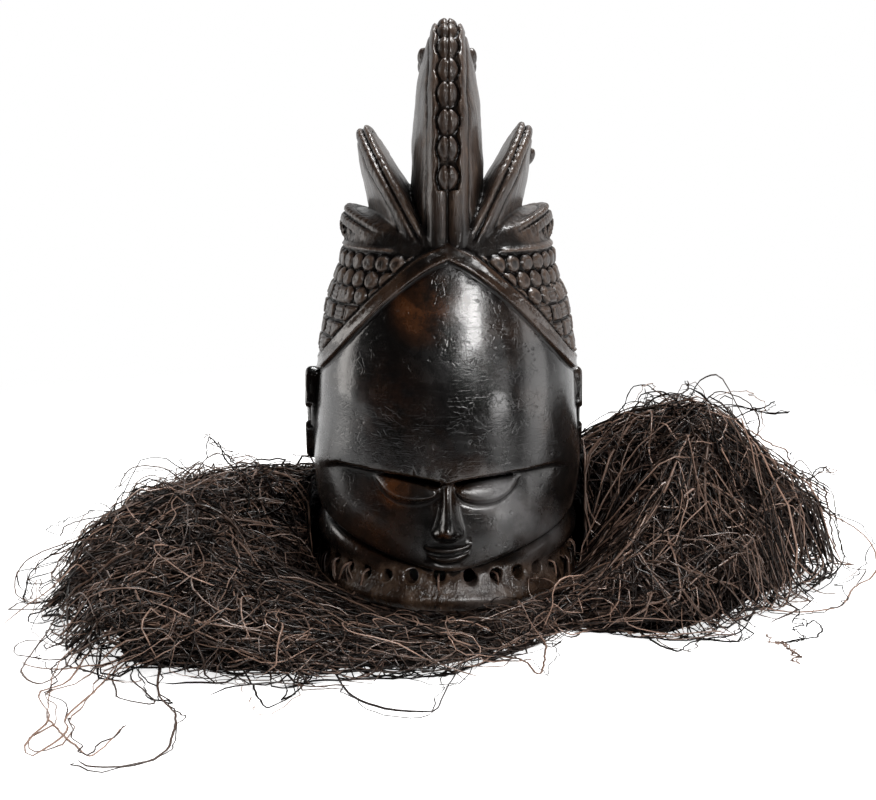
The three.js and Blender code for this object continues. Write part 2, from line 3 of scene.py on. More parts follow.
import bpy
import numpy as np
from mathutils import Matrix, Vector


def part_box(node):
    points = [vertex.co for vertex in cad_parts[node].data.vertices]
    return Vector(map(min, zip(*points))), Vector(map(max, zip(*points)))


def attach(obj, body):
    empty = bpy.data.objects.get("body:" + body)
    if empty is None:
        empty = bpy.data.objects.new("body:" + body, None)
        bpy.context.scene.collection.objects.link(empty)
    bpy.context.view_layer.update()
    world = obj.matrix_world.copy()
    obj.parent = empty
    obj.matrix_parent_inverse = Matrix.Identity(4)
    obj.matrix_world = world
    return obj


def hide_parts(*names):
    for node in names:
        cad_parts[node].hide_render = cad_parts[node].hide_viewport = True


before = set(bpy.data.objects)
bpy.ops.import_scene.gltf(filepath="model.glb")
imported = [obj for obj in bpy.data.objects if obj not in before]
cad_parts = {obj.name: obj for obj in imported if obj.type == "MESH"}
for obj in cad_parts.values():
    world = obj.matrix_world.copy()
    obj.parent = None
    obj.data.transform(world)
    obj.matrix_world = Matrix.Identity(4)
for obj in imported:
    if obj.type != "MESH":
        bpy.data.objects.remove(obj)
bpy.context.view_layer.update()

# The mask's upright axis in the row frame; every size below is in millimetres from it
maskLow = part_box("wooden_mask")[0]
axisX = maskLow.x + 0.111
axisY = maskLow.y + 0.12602
degree = math.pi / 180


# Small helpers for forms
def smoothStep(low, high, value):
    t = np.clip((value - low) / (high - low), 0.0, 1.0)
    return t * t * (3.0 - 2.0 * t)


def blendMax(a, b, width):
    h = np.maximum(width - np.abs(a - b), 0.0) / width
    return np.maximum(a, b) + h * h * (width * 0.25)


def blendMin(a, b, width):
    h = np.maximum(width - np.abs(a - b), 0.0) / width
    return np.minimum(a, b) - h * h * (width * 0.25)


def ridgeAt(value, width):
    return np.exp(-((value / width) ** 2))


def curveThrough(rows, positions):
    rows = np.array(rows, float)
    last = len(rows) - 1
    order = np.arange(last + 1)
    before = rows[np.maximum(order - 1, 0)]
    after = rows[np.minimum(order + 1, last)]
    slopes = (after[:, 1:] - before[:, 1:]) / (after[:, :1] - before[:, :1])
    p = np.clip(positions, rows[0, 0], rows[-1, 0])
    i = np.clip(np.searchsorted(rows[:, 0], p, side="right") - 1, 0, last - 1)
    span = (rows[i + 1, 0] - rows[i, 0])[..., None]
    t = (p - rows[i, 0])[..., None] / span
    h = t * t * (3 - 2 * t)
    bent = slopes[i] * span * t * (1 - t) ** 2 + slopes[i + 1] * span * t * t * (t - 1)
    return rows[i, 1:] + (rows[i + 1, 1:] - rows[i, 1:]) * h + bent


def sizesAt(rows, z):
    here = curveThrough(rows, z)
    slope = curveThrough(rows, z + 0.5) - curveThrough(rows, z - 0.5)
    return [c.astype(np.float32) for c in (*here.T, *slope.T)]


# Distance from a level superellipse section, and the turn round it from the front
def fromSection(x, y, sizes, fullness):
    half, front, back, halfSlope, frontSlope, backSlope = sizes
    depth = np.where(y < 0, front, back)
    depthSlope = np.where(y < 0, frontSlope, backSlope)
    u = np.maximum(np.abs(x) / half, 1e-3)
    v = np.maximum(np.abs(y) / depth, 1e-3)
    un = u**fullness
    vn = v**fullness
    total = un + vn
    r = total ** (1 / fullness)
    across = un / u / half
    along = vn / v / depth
    upward = un * halfSlope / half + vn * depthSlope / depth
    slope = r / total * np.sqrt(across**2 + along**2 + upward**2)
    turn = np.arctan2(np.sign(x) * np.sqrt(un), -np.sign(y) * np.sqrt(vn))
    return (r - 1) / slope, turn


# Head and face
head = {
    "half": 103.5,
    "front": 108.0,
    "back": 118.0,
    "fullness": 2.2,
    "crown": 298.0,
    "brow": 94.5,
    "browRise": 8.6,
    "recess": 9.5,
    "wall": 12.0,
    "archFrom": 120,
    "cavityTop": 232.0,
    "cavityFullness": 2.1,
}
# Head by level: shares of its half width, front depth and back depth
headShares = [
    [30, 0.93, 0.995, 0.82],
    [60, 0.971, 1.006, 0.87],
    [95.1, 1, 1, 0.93],
    [137.1, 0.96, 0.988, 0.985],
    [168, 0.942, 0.95, 1],
    [215.1, 0.874, 0.83, 0.96],
    [245.1, 0.775, 0.735, 0.9],
    [261, 0.75, 0.67, 0.86],
    [279, 0.66, 0.52, 0.74],
    [292.5, 0.42, 0.33, 0.5],
]
headRows = [[z, head["half"] * w, head["front"] * f, head["back"] * b] for z, w, f, b in headShares]
# Rim and neck by level: half width, front depth and back depth
rimRows = [
    [0, 97, 113, 114],
    [9, 101, 117, 118],
    [16, 99, 113, 116],
    [33, 95, 103, 109],
    [62, 91, 95, 104],
]


# Levels of the jaw's line and of the hair's line
jawLine = {"front": 29, "side": 68, "back": 66, "rounding": 0.0012}
hairLine = {"top": 258, "ear": 169, "nape": 96}


# Jaw: a V that is rounded at the chin, then almost level behind the sides
def jawLevel(turn):
    t = np.abs(np.sin(turn / 2))
    side = math.sqrt(0.5)
    v = np.sqrt(t * t + jawLine["rounding"]) - 0.0346
    climb = jawLine["side"] - jawLine["front"]
    drop = jawLine["side"] - jawLine["back"]
    front = jawLine["front"] + climb * v / 0.6734
    return np.where(t < side, front, jawLine["side"] - drop * (t - side) / (1 - side))


def browLevel(turn):
    t = np.abs(np.sin(turn))
    return head["brow"] + head["browRise"] * (1 - np.exp(-t / 0.27)) * (1 - smoothStep(0.75, 1, t))


def hairLevel(turn):
    t = np.abs(turn)
    s = np.sin(np.minimum(t, math.pi / 2))
    front = hairLine["top"] - (hairLine["top"] - hairLine["ear"]) * s**1.64 + 3 * np.exp(-s / 0.05)
    behind = 1 - smoothStep(98 * degree, 160 * degree, t)
    back = hairLine["nape"] + (hairLine["ear"] - hairLine["nape"]) * behind
    return np.where(t < math.pi / 2, front, back)


# How much the hairline's slope narrows a band that follows it
def hairSlopes():
    turns = np.linspace(0, math.pi, 721)
    levels = hairLevel(turns)
    sizes = curveThrough(headRows, levels)
    power = 2 / head["fullness"]
    depth = np.where(turns < math.pi / 2, sizes[:, 1], sizes[:, 2])
    x = sizes[:, 0] * np.abs(np.sin(turns)) ** power
    y = -depth * np.sign(np.cos(turns)) * np.abs(np.cos(turns)) ** power
    level = np.hypot(np.gradient(x), np.gradient(y))
    return turns, level / np.hypot(level, np.gradient(levels))


slopeTurns, slopeShares = hairSlopes()


def aboveHair(turn, z):
    return (z - hairLevel(turn)) * np.interp(np.abs(turn), slopeTurns, slopeShares)


# Eyelids by distance from the middle: level of the slit and of the groove below the lid
lidRows = [
    [0, 92.6, 92.2],
    [5, 93.6, 87.3],
    [12.4, 94.8, 81.2],
    [25, 96.4, 78.6],
    [38, 97.6, 80.6],
    [48, 98.8, 87.6],
    [55, 100.4, 96.8],
    [64, 101.6, 101.2],
    [110, 101.6, 101.2],
]


# Face: levels and sizes in millimetres, ends as distances from the middle
face = {
    "recessEnds": (0.62, 0.97),  # sines of the turn between which the recess fades
    "browStep": (-2.8, 2.4),  # heights from the brow between which the face steps out
    "lidOut": 5.8,
    "lidEdge": (-0.04, 0.3),
    "lidEnds": (3, 56),
    "lidFade": (42, 56),
    "lidInner": (3, 10),
    "grooveDepth": 1.2,
    "grooveHalf": 1.7,
    "grooveInner": (3, 12),
    "grooveOuter": (36, 56),
    "lips": [(45.8, 18, 2.7, 4.0, 3.4), (39.4, 15.5, 3.0, 4.0, 3.6)],  # level, half, height, out, rise
    "lipTilt": 0.05,
    "chinLevel": 34.6,
    "chinDepth": 0.9,
    "chinFade": (8, 12),
    "slitPlaces": [5, 9, 24, 46],
    "slitHalves": [1.6, 3.2, 2.3, 0.7],
    "slitEnds": (5, 47),
}


# Swellings and hollows of the face, as a lift from the head's surface
def faceLift(x, y, z, turn):
    inFront = np.where(y < 0, 1.0, 0.0)
    share = inFront * (1 - smoothStep(*face["recessEnds"], np.abs(np.sin(turn))))
    jaw = jawLevel(turn)
    brow = browLevel(turn)
    climb = np.clip((z - jaw) / (brow - jaw), 0, 1)
    lift = -head["recess"] * share * climb**1.3 * (1 - smoothStep(*face["browStep"], z - brow))
    across = np.abs(x)
    slit, groove = np.moveaxis(curveThrough(lidRows, across), -1, 0)
    tall = np.clip((z - groove) / np.maximum(slit - groove, 0.5), -0.4, 1.3)
    inner, outer = face["lidEnds"]
    onLid = smoothStep(*face["lidEdge"], tall)
    onLid = onLid * np.where((y < 0) & (across < outer) & (across > inner), 1.0, 0.0)
    dome = np.sqrt(np.clip(1 - (1.6 * tall - 0.6) ** 2, 0, 1))
    bulge = face["lidOut"] * dome * (1 - smoothStep(*face["lidFade"], across))
    lift = lift + onLid * bulge * smoothStep(*face["lidInner"], across)
    corner = smoothStep(*face["grooveInner"], across) * (1 - smoothStep(*face["grooveOuter"], across))
    lift = lift - face["grooveDepth"] * inFront * corner * ridgeAt(z - groove + 0.9, face["grooveHalf"])
    for level, half, tallness, out, rise in face["lips"]:
        share = across / half
        lip = share**2 + ((z - level - face["lipTilt"] * x - rise * share**2) / tallness) ** 2
        lift = lift + inFront * out * np.sqrt(np.clip(1 - lip, 0, 1))
    crease = ridgeAt(z - face["chinLevel"] - 0.02 * across**2, 1.0)
    crease = crease * (1 - smoothStep(*face["chinFade"], across))
    return lift - face["chinDepth"] * inFront * crease


# Nose by level: half width and how proud it stands
noseRows = [
    [55, 7.0, 0.42],
    [58, 9.6, 0.84],
    [63, 9.8, 1.0],
    [72, 7.6, 0.8],
    [87, 5.6, 0.46],
    [98, 5.4, 0.3],
]


nose = {
    "foot": 95.0,
    "out": 30.0,
    "bottom": 55.5,
    "top": 98,
    "inside": 60,  # where the form ends, within the hollow
    "wing": (6.4, 110, 59.5),
    "wingRadius": 4.8,
}


def noseForm(x, y, z):
    half, proud = curveThrough(noseRows, z).T.astype(np.float32)
    out = nose["out"] * proud
    e = np.sqrt((x / half) ** 2 + (np.minimum(y + nose["foot"], 0) / out) ** 2)
    form = (e - 1) * half * 0.8
    form = blendMax(form, nose["bottom"] - z - 0.25 * (y + 118), 2.5)
    aside, forward, up = nose["wing"]
    wings = np.sqrt((np.abs(x) - aside) ** 2 + ((y + forward) * 0.6) ** 2 + ((z - up) * 1.15) ** 2)
    form = blendMin(form, wings - nose["wingRadius"], 2.0)
    return np.maximum(form, np.maximum(z - nose["top"], y + nose["inside"]))


# Neck with its two fleshy rings: each begins and is full at a sine of half the turn
neckRings = [
    {"level": 46, "drop": 15, "out": 7, "begins": 0.12, "full": 0.6},
    {"level": 74, "drop": 8, "out": 12.5, "begins": 0.56, "full": 0.74},
]


def neckForm(x, y, z):
    form, turn = fromSection(x, y, sizesAt(rimRows, z), head["fullness"])
    t = np.abs(np.sin(turn / 2))
    for roll in neckRings:
        share = smoothStep(roll["begins"], roll["full"], t)
        wide = 5.4 + 8.1 * share
        proud = 1 + roll["out"] * share
        up = z - roll["level"] + roll["drop"] * (1 - share)
        ring = np.sqrt(((form + 2) / (proud + 2)) ** 2 + (up / wide) ** 2)
        form = blendMin(form, (ring - 1) * (proud + 2) * 0.9, 2.2)
    return np.maximum(form, z - 88)


# Coiffure: beads, woven blocks and the moulding above them
coiffure = {
    "columns": 40,
    "beadRows": [(251, 0.0), (239, 0.5), (227, 0.0)],
    "weaveTop": 232.5,
    "weaveTopFront": 220.5,
    "weaveRow": 13.0,
    "moulding": 260.5,
}


def coiffureLift(x, y, z, turn):
    around = np.arctan2(x, -y)
    column = around * coiffure["columns"] / (2 * math.pi)
    pitch = np.hypot(x, y) * 2 * math.pi / coiffure["columns"]
    lift = np.zeros(np.broadcast_shapes(x.shape, y.shape, z.shape), np.float32)
    weaveTop = np.where(np.abs(turn) < 55 * degree, coiffure["weaveTopFront"], coiffure["weaveTop"])
    for level, shift in coiffure["beadRows"]:
        u = (column - shift - np.round(column - shift)) * pitch
        e = (u / 6.8) ** 2 + ((z - level) / 6.4) ** 2
        bead = 4.4 * np.sqrt(np.clip(1 - e, 0, 1)) - 1.1 * np.exp(-e / 0.14) * (e < 1)
        lift = np.maximum(lift, np.where(z > weaveTop - 1, bead, 0))
    row = (coiffure["weaveTop"] - z) / coiffure["weaveRow"]
    v = row - np.floor(row)
    u = column - np.floor(column)
    upright = np.mod(np.floor(row) + np.floor(column), 2)
    gap = np.minimum(np.minimum(u, 1 - u) * pitch, np.minimum(v, 1 - v) * coiffure["weaveRow"])
    border = smoothStep(0.3, 1.7, gap)
    bars = np.where(upright > 0, 0.3 * np.cos(u * 10 * math.pi), 0.6 * np.cos(v * 8 * math.pi))
    block = 0.3 + border * (2.0 + 0.9 * upright + bars)
    lift = np.where(z < weaveTop, np.maximum(lift, block), lift)
    sides = smoothStep(24 * degree, 32 * degree, np.abs(turn))
    moulding = 2.6 * ridgeAt(z - coiffure["moulding"], 2.0) * sides
    return np.maximum(lift * (1 - smoothStep(264, 270, z)), moulding)


# Band along the hairline: rounded, with a ridge at each border and a thin groove
def bandLift(above):
    body = np.clip(1 - (above / 6.1) ** 6, 0, 1)
    borders = ridgeAt(above - 4.6, 0.9) + ridgeAt(above + 4.6, 0.9)
    return body * (2.8 + 1.2 * borders - 0.4 * ridgeAt(above, 0.9)) - 0.5 * ridgeAt(above + 7.4, 1.2)


# Lobes of the crest
lobeMiddle = 17.0
lobes = [
    {"name": "middle", "tilt": 0, "level": 245, "reach": 180, "front": 91, "back": 88, "half": 10.4,
     "depth": 8, "inner": (17.3, 4.3), "outer": (17.3, 4.3), "leftTilt": 0},
    {"name": "upper", "tilt": 27, "level": 230, "reach": 134, "front": 88, "back": 86, "half": 5.4,
     "depth": 6, "inner": (6.0, 2.0), "outer": (32.0, 1.8), "leftTilt": 2.3},
    {"name": "lower", "tilt": 66, "level": 249, "reach": 87.5, "front": 85, "back": 84, "half": 5.6,
     "depth": 7, "inner": (4.0, 2.0), "outer": (21.0, 10.0), "leftTilt": 1.0},
]
beanPitch = 21.1


# Length along a lobe's edge from its top, + towards the front
def edgeLengths(lobe):
    turns = np.linspace(0, math.pi, 1801)
    run = np.where(turns < math.pi / 2, lobe["front"], lobe["back"]) * np.cos(turns)
    out = lobe["reach"] * np.sin(turns)
    length = np.concatenate([[0], np.cumsum(np.hypot(np.diff(run), np.diff(out)))])
    return turns, length[900] - length


def lobeForm(lobe, side, x, y, z):
    lean = (lobe["tilt"] + (lobe["leftTilt"] if side < 0 else 0)) * degree
    across = side * x
    out = across * math.sin(lean) + (z - lobe["level"]) * math.cos(lean)
    off = across * math.cos(lean) - (z - lobe["level"]) * math.sin(lean)
    run = lobeMiddle - y
    up = np.where(out > 0, lobe["reach"], 16.0)
    length = np.where(run > 0, lobe["front"], lobe["back"])
    a = run / length
    b = out / up
    q = np.maximum(np.sqrt(a * a + b * b), 1e-3)
    slope = np.sqrt((a / length) ** 2 + (b / up) ** 2) / q
    edge = (q - 1) / slope
    half = lobe["half"]
    depth = lobe["depth"]
    belly = np.where(off < 0, lobe["inner"][0], lobe["outer"][0])
    power = np.where(off < 0, lobe["inner"][1], lobe["outer"][1])
    swell = np.minimum(q, 1) ** power
    steep = belly * power * swell / q * slope
    flank = (np.abs(off) - half - belly * (1 - swell)) / np.sqrt(1 + steep**2)
    form = blendMax(flank, edge, 3.2)
    inBand = smoothStep(-depth - 0.8, -depth + 0.8, edge)
    turns, lengths = edgeLengths(lobe)
    place = np.interp(np.arctan2(b, a), turns, lengths)
    aside = np.abs(off)
    if lobe["name"] == "middle":
        beaded = np.where(np.abs(place) < beanPitch * 7.5, 1.0, 0.0)
        u = place - beanPitch * np.round(place / beanPitch)
        channel = 8.4 + 0.9 * np.cos(u / beanPitch * 2 * math.pi)
        form = form + inBand * beaded * 3.4 * (1 - smoothStep(channel - 0.8, channel + 0.8, aside))
        e = np.sqrt((u / 9.2) ** 2 + (off / 7.6) ** 2 + (np.maximum(edge + 3.4, 0) / 6.8) ** 2)
        bean = (e - 1) * 5.6 + 1.9 * ridgeAt(off, 0.8) + 30 * (1 - beaded)
        form = blendMin(form, bean, 0.4)
        form = form + inBand * (1 - beaded) * 3.0 * ridgeAt(off, 2.2)
    else:
        form = form + inBand * 2.3 * ridgeAt(off, 1.2)
    form = form + 1.3 * ridgeAt(edge + depth + 1.4, 1.2) * smoothStep(half - 2.5, half - 0.5, aside)
    if lobe["name"] == "upper":
        step = np.abs(place / 7.5 - np.round(place / 7.5)) * 7.5
        form = form + 0.55 * ridgeAt(step, 0.9) * inBand * np.where(np.abs(place) < 70, 1.0, 0.3)
    if lobe["name"] == "lower":
        step = np.abs(place / 6.5 - np.round(place / 6.5)) * 6.5
        form = form + 0.6 * ridgeAt(step, 0.9) * inBand * np.where(off < half, 1.0, 0.0)
        below = off - half - 2
        zone = smoothStep(-0.6, 0.8, below) * (1 - smoothStep(16, 17.5, below)) * smoothStep(-16, -12, edge)
        wave = np.abs(place / 15 - np.floor(place / 15) - 0.5) * 2 * 15
        rib = 1 - smoothStep(0.8, 2.2, np.abs(below - wave - 0.6) * 0.72)
        form = form + zone * (2.8 * (1 - rib) - 0.5)
    return form


# The wearer's hollow
def hollowForm(x, y, z):
    level = np.clip(z, -3, head["cavityTop"] - 1)

    def sizes(at):
        neck = curveThrough(rimRows, np.maximum(at, 0))
        outer = curveThrough(headRows, at)
        blend = smoothStep(38, 80, at)[:, None]
        climb = (at - head["archFrom"]) / (head["cavityTop"] - head["archFrom"])
        arch = np.clip(1 - climb**2, 0.0005, 1) ** 0.35
        arch = np.where(at > head["archFrom"], arch, 1.0)[:, None]
        size = neck * (1 - blend) + outer * blend - head["wall"]
        size[:, 1] -= head["recess"] * blend[:, 0] * (1 - smoothStep(105, 140, at))
        return np.maximum(size * arch, 2)

    here = sizes(level)
    slope = sizes(level + 0.5) - sizes(level - 0.5)
    section = [c.astype(np.float32) for c in (*here.T, *slope.T)]
    form = fromSection(x, y, section, head["cavityFullness"])[0]
    return blendMax(form, z - head["cavityTop"], 4)


# Slow unevenness left by the carver's tools: size of the marks, depth
toolMarks = [(34, 0.3), (19, 0.16), (11, 0.09)]


def handWork(x, y, z):
    rng = np.random.default_rng(4)
    total = 0
    for size, amount in toolMarks:
        for _ in range(3):
            kx, ky, kz = rng.normal(0, 1, 3) / size * 3.2
            phase = rng.uniform(0, 6.28, 3)
            wave = np.sin(kx * x + phase[0]) + np.sin(ky * y + phase[1])
            total = total + amount * np.sin(wave * 1.6 + kz * z + phase[2])
    return total


# The mask's form over some levels of the grid: + outside, - inside, about in millimetres
def maskSlab(x, y, z):
    low = float(z[0])
    high = float(z[-1])
    form, turn = fromSection(x, y, sizesAt(headRows, z), head["fullness"])
    if high > 255:
        form = blendMax(form, z - head["crown"], 8)
    if low < 112:
        form = form - faceLift(x, y, z, turn)
    if high > 82 and low < 285:
        above = aboveHair(turn, z)
        under = smoothStep(6.6, 8.6, above) * (1 - smoothStep(262, 285, z))
        form = form - bandLift(above) - under * coiffureLift(x, y, z, turn)
    if low < 90:
        jaw = jawLevel(turn)
        form = blendMax(form, jaw - z, 3.6)
        form = blendMin(form, neckForm(x, y, z) + 3.0 * ridgeAt(z - jaw + 1.5, 3.0), 1.0)
    if high > 50 and low < 100:
        form = blendMin(form, noseForm(x, y, z), 3.5)
    if high > 212:
        for lobe in lobes:
            for side in [1] if lobe["name"] == "middle" else [-1, 1]:
                form = blendMin(form, lobeForm(lobe, side, x, y, z), 2.6)
    form = form + handWork(x, y, z) * (0.22 + 0.4 * smoothStep(-4, 4, aboveHair(turn, z)))
    if low < 3:
        form = blendMax(form, -z + 0 * form, 2.0)
    if low < head["cavityTop"]:
        form = blendMax(form, -hollowForm(x, y, z), 2.5)
    if high > 84 and low < 112:
        across = np.abs(x)
        middle = curveThrough(lidRows, across)[..., 0]
        half = np.interp(across, face["slitPlaces"], face["slitHalves"])
        inner, outer = face["slitEnds"]
        slit = np.maximum(np.abs(z - middle) - half, np.maximum(inner - across, across - outer))
        form = np.maximum(form, -np.maximum(slit, y + 30))
    return form.astype(np.float32)


# The grid's part within a radius of a point
def near(grid, centre, radius):
    cut = []
    for values, middle, reach in zip(grid, centre, radius):
        cut.append(slice(*np.searchsorted(values, [middle - reach, middle + reach])))
    x, y, z = (values[c] for values, c in zip(grid, cut))
    return tuple(cut), x[:, None, None], y[None, :, None], z[None, None, :]


ears = {
    "places": [(-1, 111.0), (1, 106.0)],  # side and how far out
    "y": 16,
    "level": 124.5,
    "plate": (16, 36.5),  # half depth and half height
    "loop": (11.5, 32),
    "inner": (5, 19),
    "roll": 4.4,
    "scallops": 9,
}


def addEars(form, grid):
    for side, out in ears["places"]:
        cut, x, y, z = near(grid, (side * (out - 8), ears["y"], ears["level"]), (22, 26, 46))
        dy = y - ears["y"]
        dz = z - ears["level"]
        flat = np.maximum(np.hypot(dy / ears["plate"][0], dz / ears["plate"][1]), 1e-3)
        plate = np.hypot(dy, dz) * (1 - 1 / flat)
        plate = blendMax(plate, side * x - out + 5, 3)
        turn = np.arctan2(dz, dy)
        scallop = 1 - 0.05 * np.cos(turn * ears["scallops"])
        loop = np.maximum(np.hypot(dy / ears["loop"][0], dz / ears["loop"][1]) / scallop, 1e-3)
        proud = side * x - out + ears["roll"]
        rim = np.sqrt((np.hypot(dy, dz) * (1 - 1 / loop)) ** 2 + proud**2) - ears["roll"]
        rim = rim + 12 * smoothStep(148 * degree, 160 * degree, np.abs(turn))
        deep, tall = ears["inner"]
        inner = np.maximum(np.hypot((dy + 2) / deep, dz / tall) * deep, 1e-3)
        curl = np.sqrt((inner - deep) ** 2 * 0.5 + proud**2) - ears["roll"] / 2
        whole = blendMin(blendMin(plate, rim, 1.5), curl, 1.5)
        form[cut] = blendMin(form[cut], whole, 2.0)


# Beads on the back half of the lobes' flanks: lobe, share of its reach, count
flankBeads = [(lobes[0], 0.86, 5), (lobes[1], 0.84, 4)]
flankBeadPitch = 17
flankBeadSize = (4.2, 6.2, 7.4)


def addFlankBeads(form, grid):
    for lobe, share, count in flankBeads:
        turns = np.linspace(math.pi / 2, math.pi, 1500)
        run = share * lobe["back"] * np.cos(turns)
        out = share * lobe["reach"] * np.sin(turns)
        length = np.concatenate([[0], np.cumsum(np.hypot(np.diff(run), np.diff(out)))])
        lean = lobe["tilt"] * degree
        proud = lobe["half"] + lobe["outer"][0] * (1 - share ** lobe["outer"][1])
        for number in range(count):
            i = np.searchsorted(length, flankBeadPitch * (number + 0.5))
            for side in (-1, 1):
                cx = side * (out[i] * math.sin(lean) + proud * math.cos(lean))
                cy = lobeMiddle - run[i]
                cz = lobe["level"] + out[i] * math.cos(lean) - proud * math.sin(lean)
                cut, x, y, z = near(grid, (cx, cy, cz), (12, 12, 12))
                dx = side * (x - cx)
                dz = z - cz
                off = dx * math.cos(lean) - dz * math.sin(lean)
                up = dx * math.sin(lean) + dz * math.cos(lean)
                thick, wide, tall = flankBeadSize
                ball = np.sqrt((off / thick) ** 2 + ((y - cy) / wide) ** 2 + (up / tall) ** 2)
                form[cut] = blendMin(form[cut], (ball - 1) * 4.6, 0.8)


# Holes round the rim, for the raffia's ties
lashing = {"count": 32, "shift": 0.75, "level": 25, "radius": 4.4}


def lashingPlaces():
    sizes = curveThrough(rimRows, np.array([float(lashing["level"])]))[0]
    places = []
    for i in range(lashing["count"]):
        turn = (i + lashing["shift"]) / lashing["count"] * 2 * math.pi
        s = math.sin(turn)
        c = math.cos(turn)
        depth = sizes[1] if c > 0 else sizes[2]
        x = sizes[0] * math.copysign(abs(s) ** (1 / 1.1), s)
        y = -depth * math.copysign(abs(c) ** (1 / 1.1), c)
        out = Vector((x / sizes[0] ** 2, y / depth**2, 0)).normalized()
        places.append((x, y, out.x, out.y))
    return places


def cutHoles(form, grid):
    rng = np.random.default_rng(9)
    for x0, y0, ox, oy in lashingPlaces():
        cut, x, y, z = near(grid, (x0, y0, lashing["level"]), (24, 24, 8))
        side = (x - x0) * oy - (y - y0) * ox
        size = lashing["radius"] + rng.uniform(-0.4, 0.5)
        hole = np.hypot(side, z - lashing["level"] - rng.uniform(-1, 1)) - size
        form[cut] = blendMax(form[cut], -hole, 1.6)


# Skin through the middle of the grid's cells where the form changes sign
def skinOf(form, low, pitch):
    inside = form < 0
    cellShape = np.array(form.shape) - 1
    strides = np.array([cellShape[1] * cellShape[2], cellShape[2], 1])
    cells = []
    places = []
    groups = []
    for axis in range(3):
        first = [slice(None)] * 3
        second = [slice(None)] * 3
        first[axis] = slice(0, -1)
        second[axis] = slice(1, None)
        crossing = inside[tuple(first)] != inside[tuple(second)]
        at = np.argwhere(crossing)
        others = [k for k in range(3) if k != axis]
        fits = np.ones(len(at), bool)
        for k in others:
            fits &= (at[:, k] > 0) & (at[:, k] < form.shape[k] - 1)
        at = at[fits]
        start = form[at[:, 0], at[:, 1], at[:, 2]]
        step = at.copy()
        step[:, axis] += 1
        end = form[step[:, 0], step[:, 1], step[:, 2]]
        place = at.astype(np.float32)
        place[:, axis] += start / (start - end)
        around = []
        for du, dv in [(-1, -1), (0, -1), (0, 0), (-1, 0)]:
            cell = at.copy()
            cell[:, others[0]] += du
            cell[:, others[1]] += dv
            around.append(cell @ strides)
            cells.append(around[-1])
            places.append(place)
        faces = np.stack(around, 1)
        flip = (start < 0) if axis != 1 else (start >= 0)
        faces[~flip] = faces[~flip][:, ::-1]
        groups.append(faces)
    cells = np.concatenate(cells)
    places = np.concatenate(places)
    ids, order = np.unique(cells, return_inverse=True)
    count = np.bincount(order)
    points = np.stack([np.bincount(order, places[:, k]) / count for k in range(3)], 1)
    faces = np.searchsorted(ids, np.concatenate(groups))
    return np.array(low) + points * pitch, faces


def meshFrom(name, points, faces, corners):
    mesh = bpy.data.meshes.new(name)
    mesh.vertices.add(len(points))
    mesh.vertices.foreach_set("co", np.asarray(points, np.float32).ravel())
    mesh.loops.add(faces.size)
    mesh.loops.foreach_set("vertex_index", faces.ravel().astype(np.int32))
    mesh.polygons.add(len(faces))
    mesh.polygons.foreach_set("loop_start", np.arange(0, faces.size, corners, dtype=np.int32))
    mesh.update(calc_edges=True)
    mesh.validate()
    return mesh


def toFrame(points):
    return np.stack([axisX + points[:, 0] / 1000, axisY + points[:, 1] / 1000, points[:, 2] / 1000], 1)


def newObject(name, data):
    made = bpy.data.objects.new(name, data)
    bpy.context.scene.collection.objects.link(made)
    return made


def addPiece(name, mesh, nodes, material):
    piece = newObject(name, mesh)
    mesh.materials.clear()
    mesh.materials.append(material)
    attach(piece, "root")
    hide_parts(*nodes)
    return piece


# Values of the grid at any point, between its nodes
def sampleGrid(values, low, pitch, points):
    p = (points - np.array(low)) / pitch
    i = np.clip(np.floor(p).astype(int), 0, np.array(values.shape) - 2)
    f = np.clip(p - i, 0, 1)
    total = 0
    for dx in (0, 1):
        for dy in (0, 1):
            for dz in (0, 1):
                share = 1.0
                for k, d in enumerate((dx, dy, dz)):
                    share = share * (f[:, k] if d else 1 - f[:, k])
                total = total + share * values[i[:, 0] + dx, i[:, 1] + dy, i[:, 2] + dz]
    return total


def setValues(mesh, name, values):
    layer = mesh.attributes.new(name, "FLOAT", "POINT")
    layer.data.foreach_set("value", np.asarray(values, np.float32))


wood = {
    "pitch": 1.2,
    "low": (-115.0, -132.0, -4.0),
    "high": (110.5, 127.0, 433.0),
    "triangles": 190000,
    "slab": 16,
    "bendStep": 2.6,
}


def maskForm():
    grid = [np.arange(a, b, wood["pitch"], dtype=np.float32) for a, b in zip(wood["low"], wood["high"])]
    x = grid[0][:, None, None]
    y = grid[1][None, :, None]
    form = np.empty([len(g) for g in grid], np.float32)
    for start in range(0, len(grid[2]), wood["slab"]):
        z = grid[2][start:start + wood["slab"]]
        form[:, :, start:start + wood["slab"]] = maskSlab(x, y, z)
    addEars(form, grid)
    addFlankBeads(form, grid)
    cutHoles(form, grid)
    return form


# The skin with fewer triangles, as a plain mesh
def thinned(mesh, ratio):
    raw = newObject("mask_raw", mesh)
    fewer = raw.modifiers.new("fewer", "DECIMATE")
    fewer.ratio = ratio
    shown = bpy.data.meshes.new_from_object(raw.evaluated_get(bpy.context.evaluated_depsgraph_get()))
    bpy.data.objects.remove(raw)
    return shown


# Outward directions of the form at some points
def normalsOf(form, at):
    slopes = []
    for k in range(3):
        step = np.zeros(3)
        step[k] = 0.6 * wood["pitch"]
        ahead = sampleGrid(form, wood["low"], wood["pitch"], at + step)
        slopes.append(ahead - sampleGrid(form, wood["low"], wood["pitch"], at - step))
    normals = np.stack(slopes, 1)
    return normals / np.maximum(np.linalg.norm(normals, axis=1, keepdims=True), 1e-9)


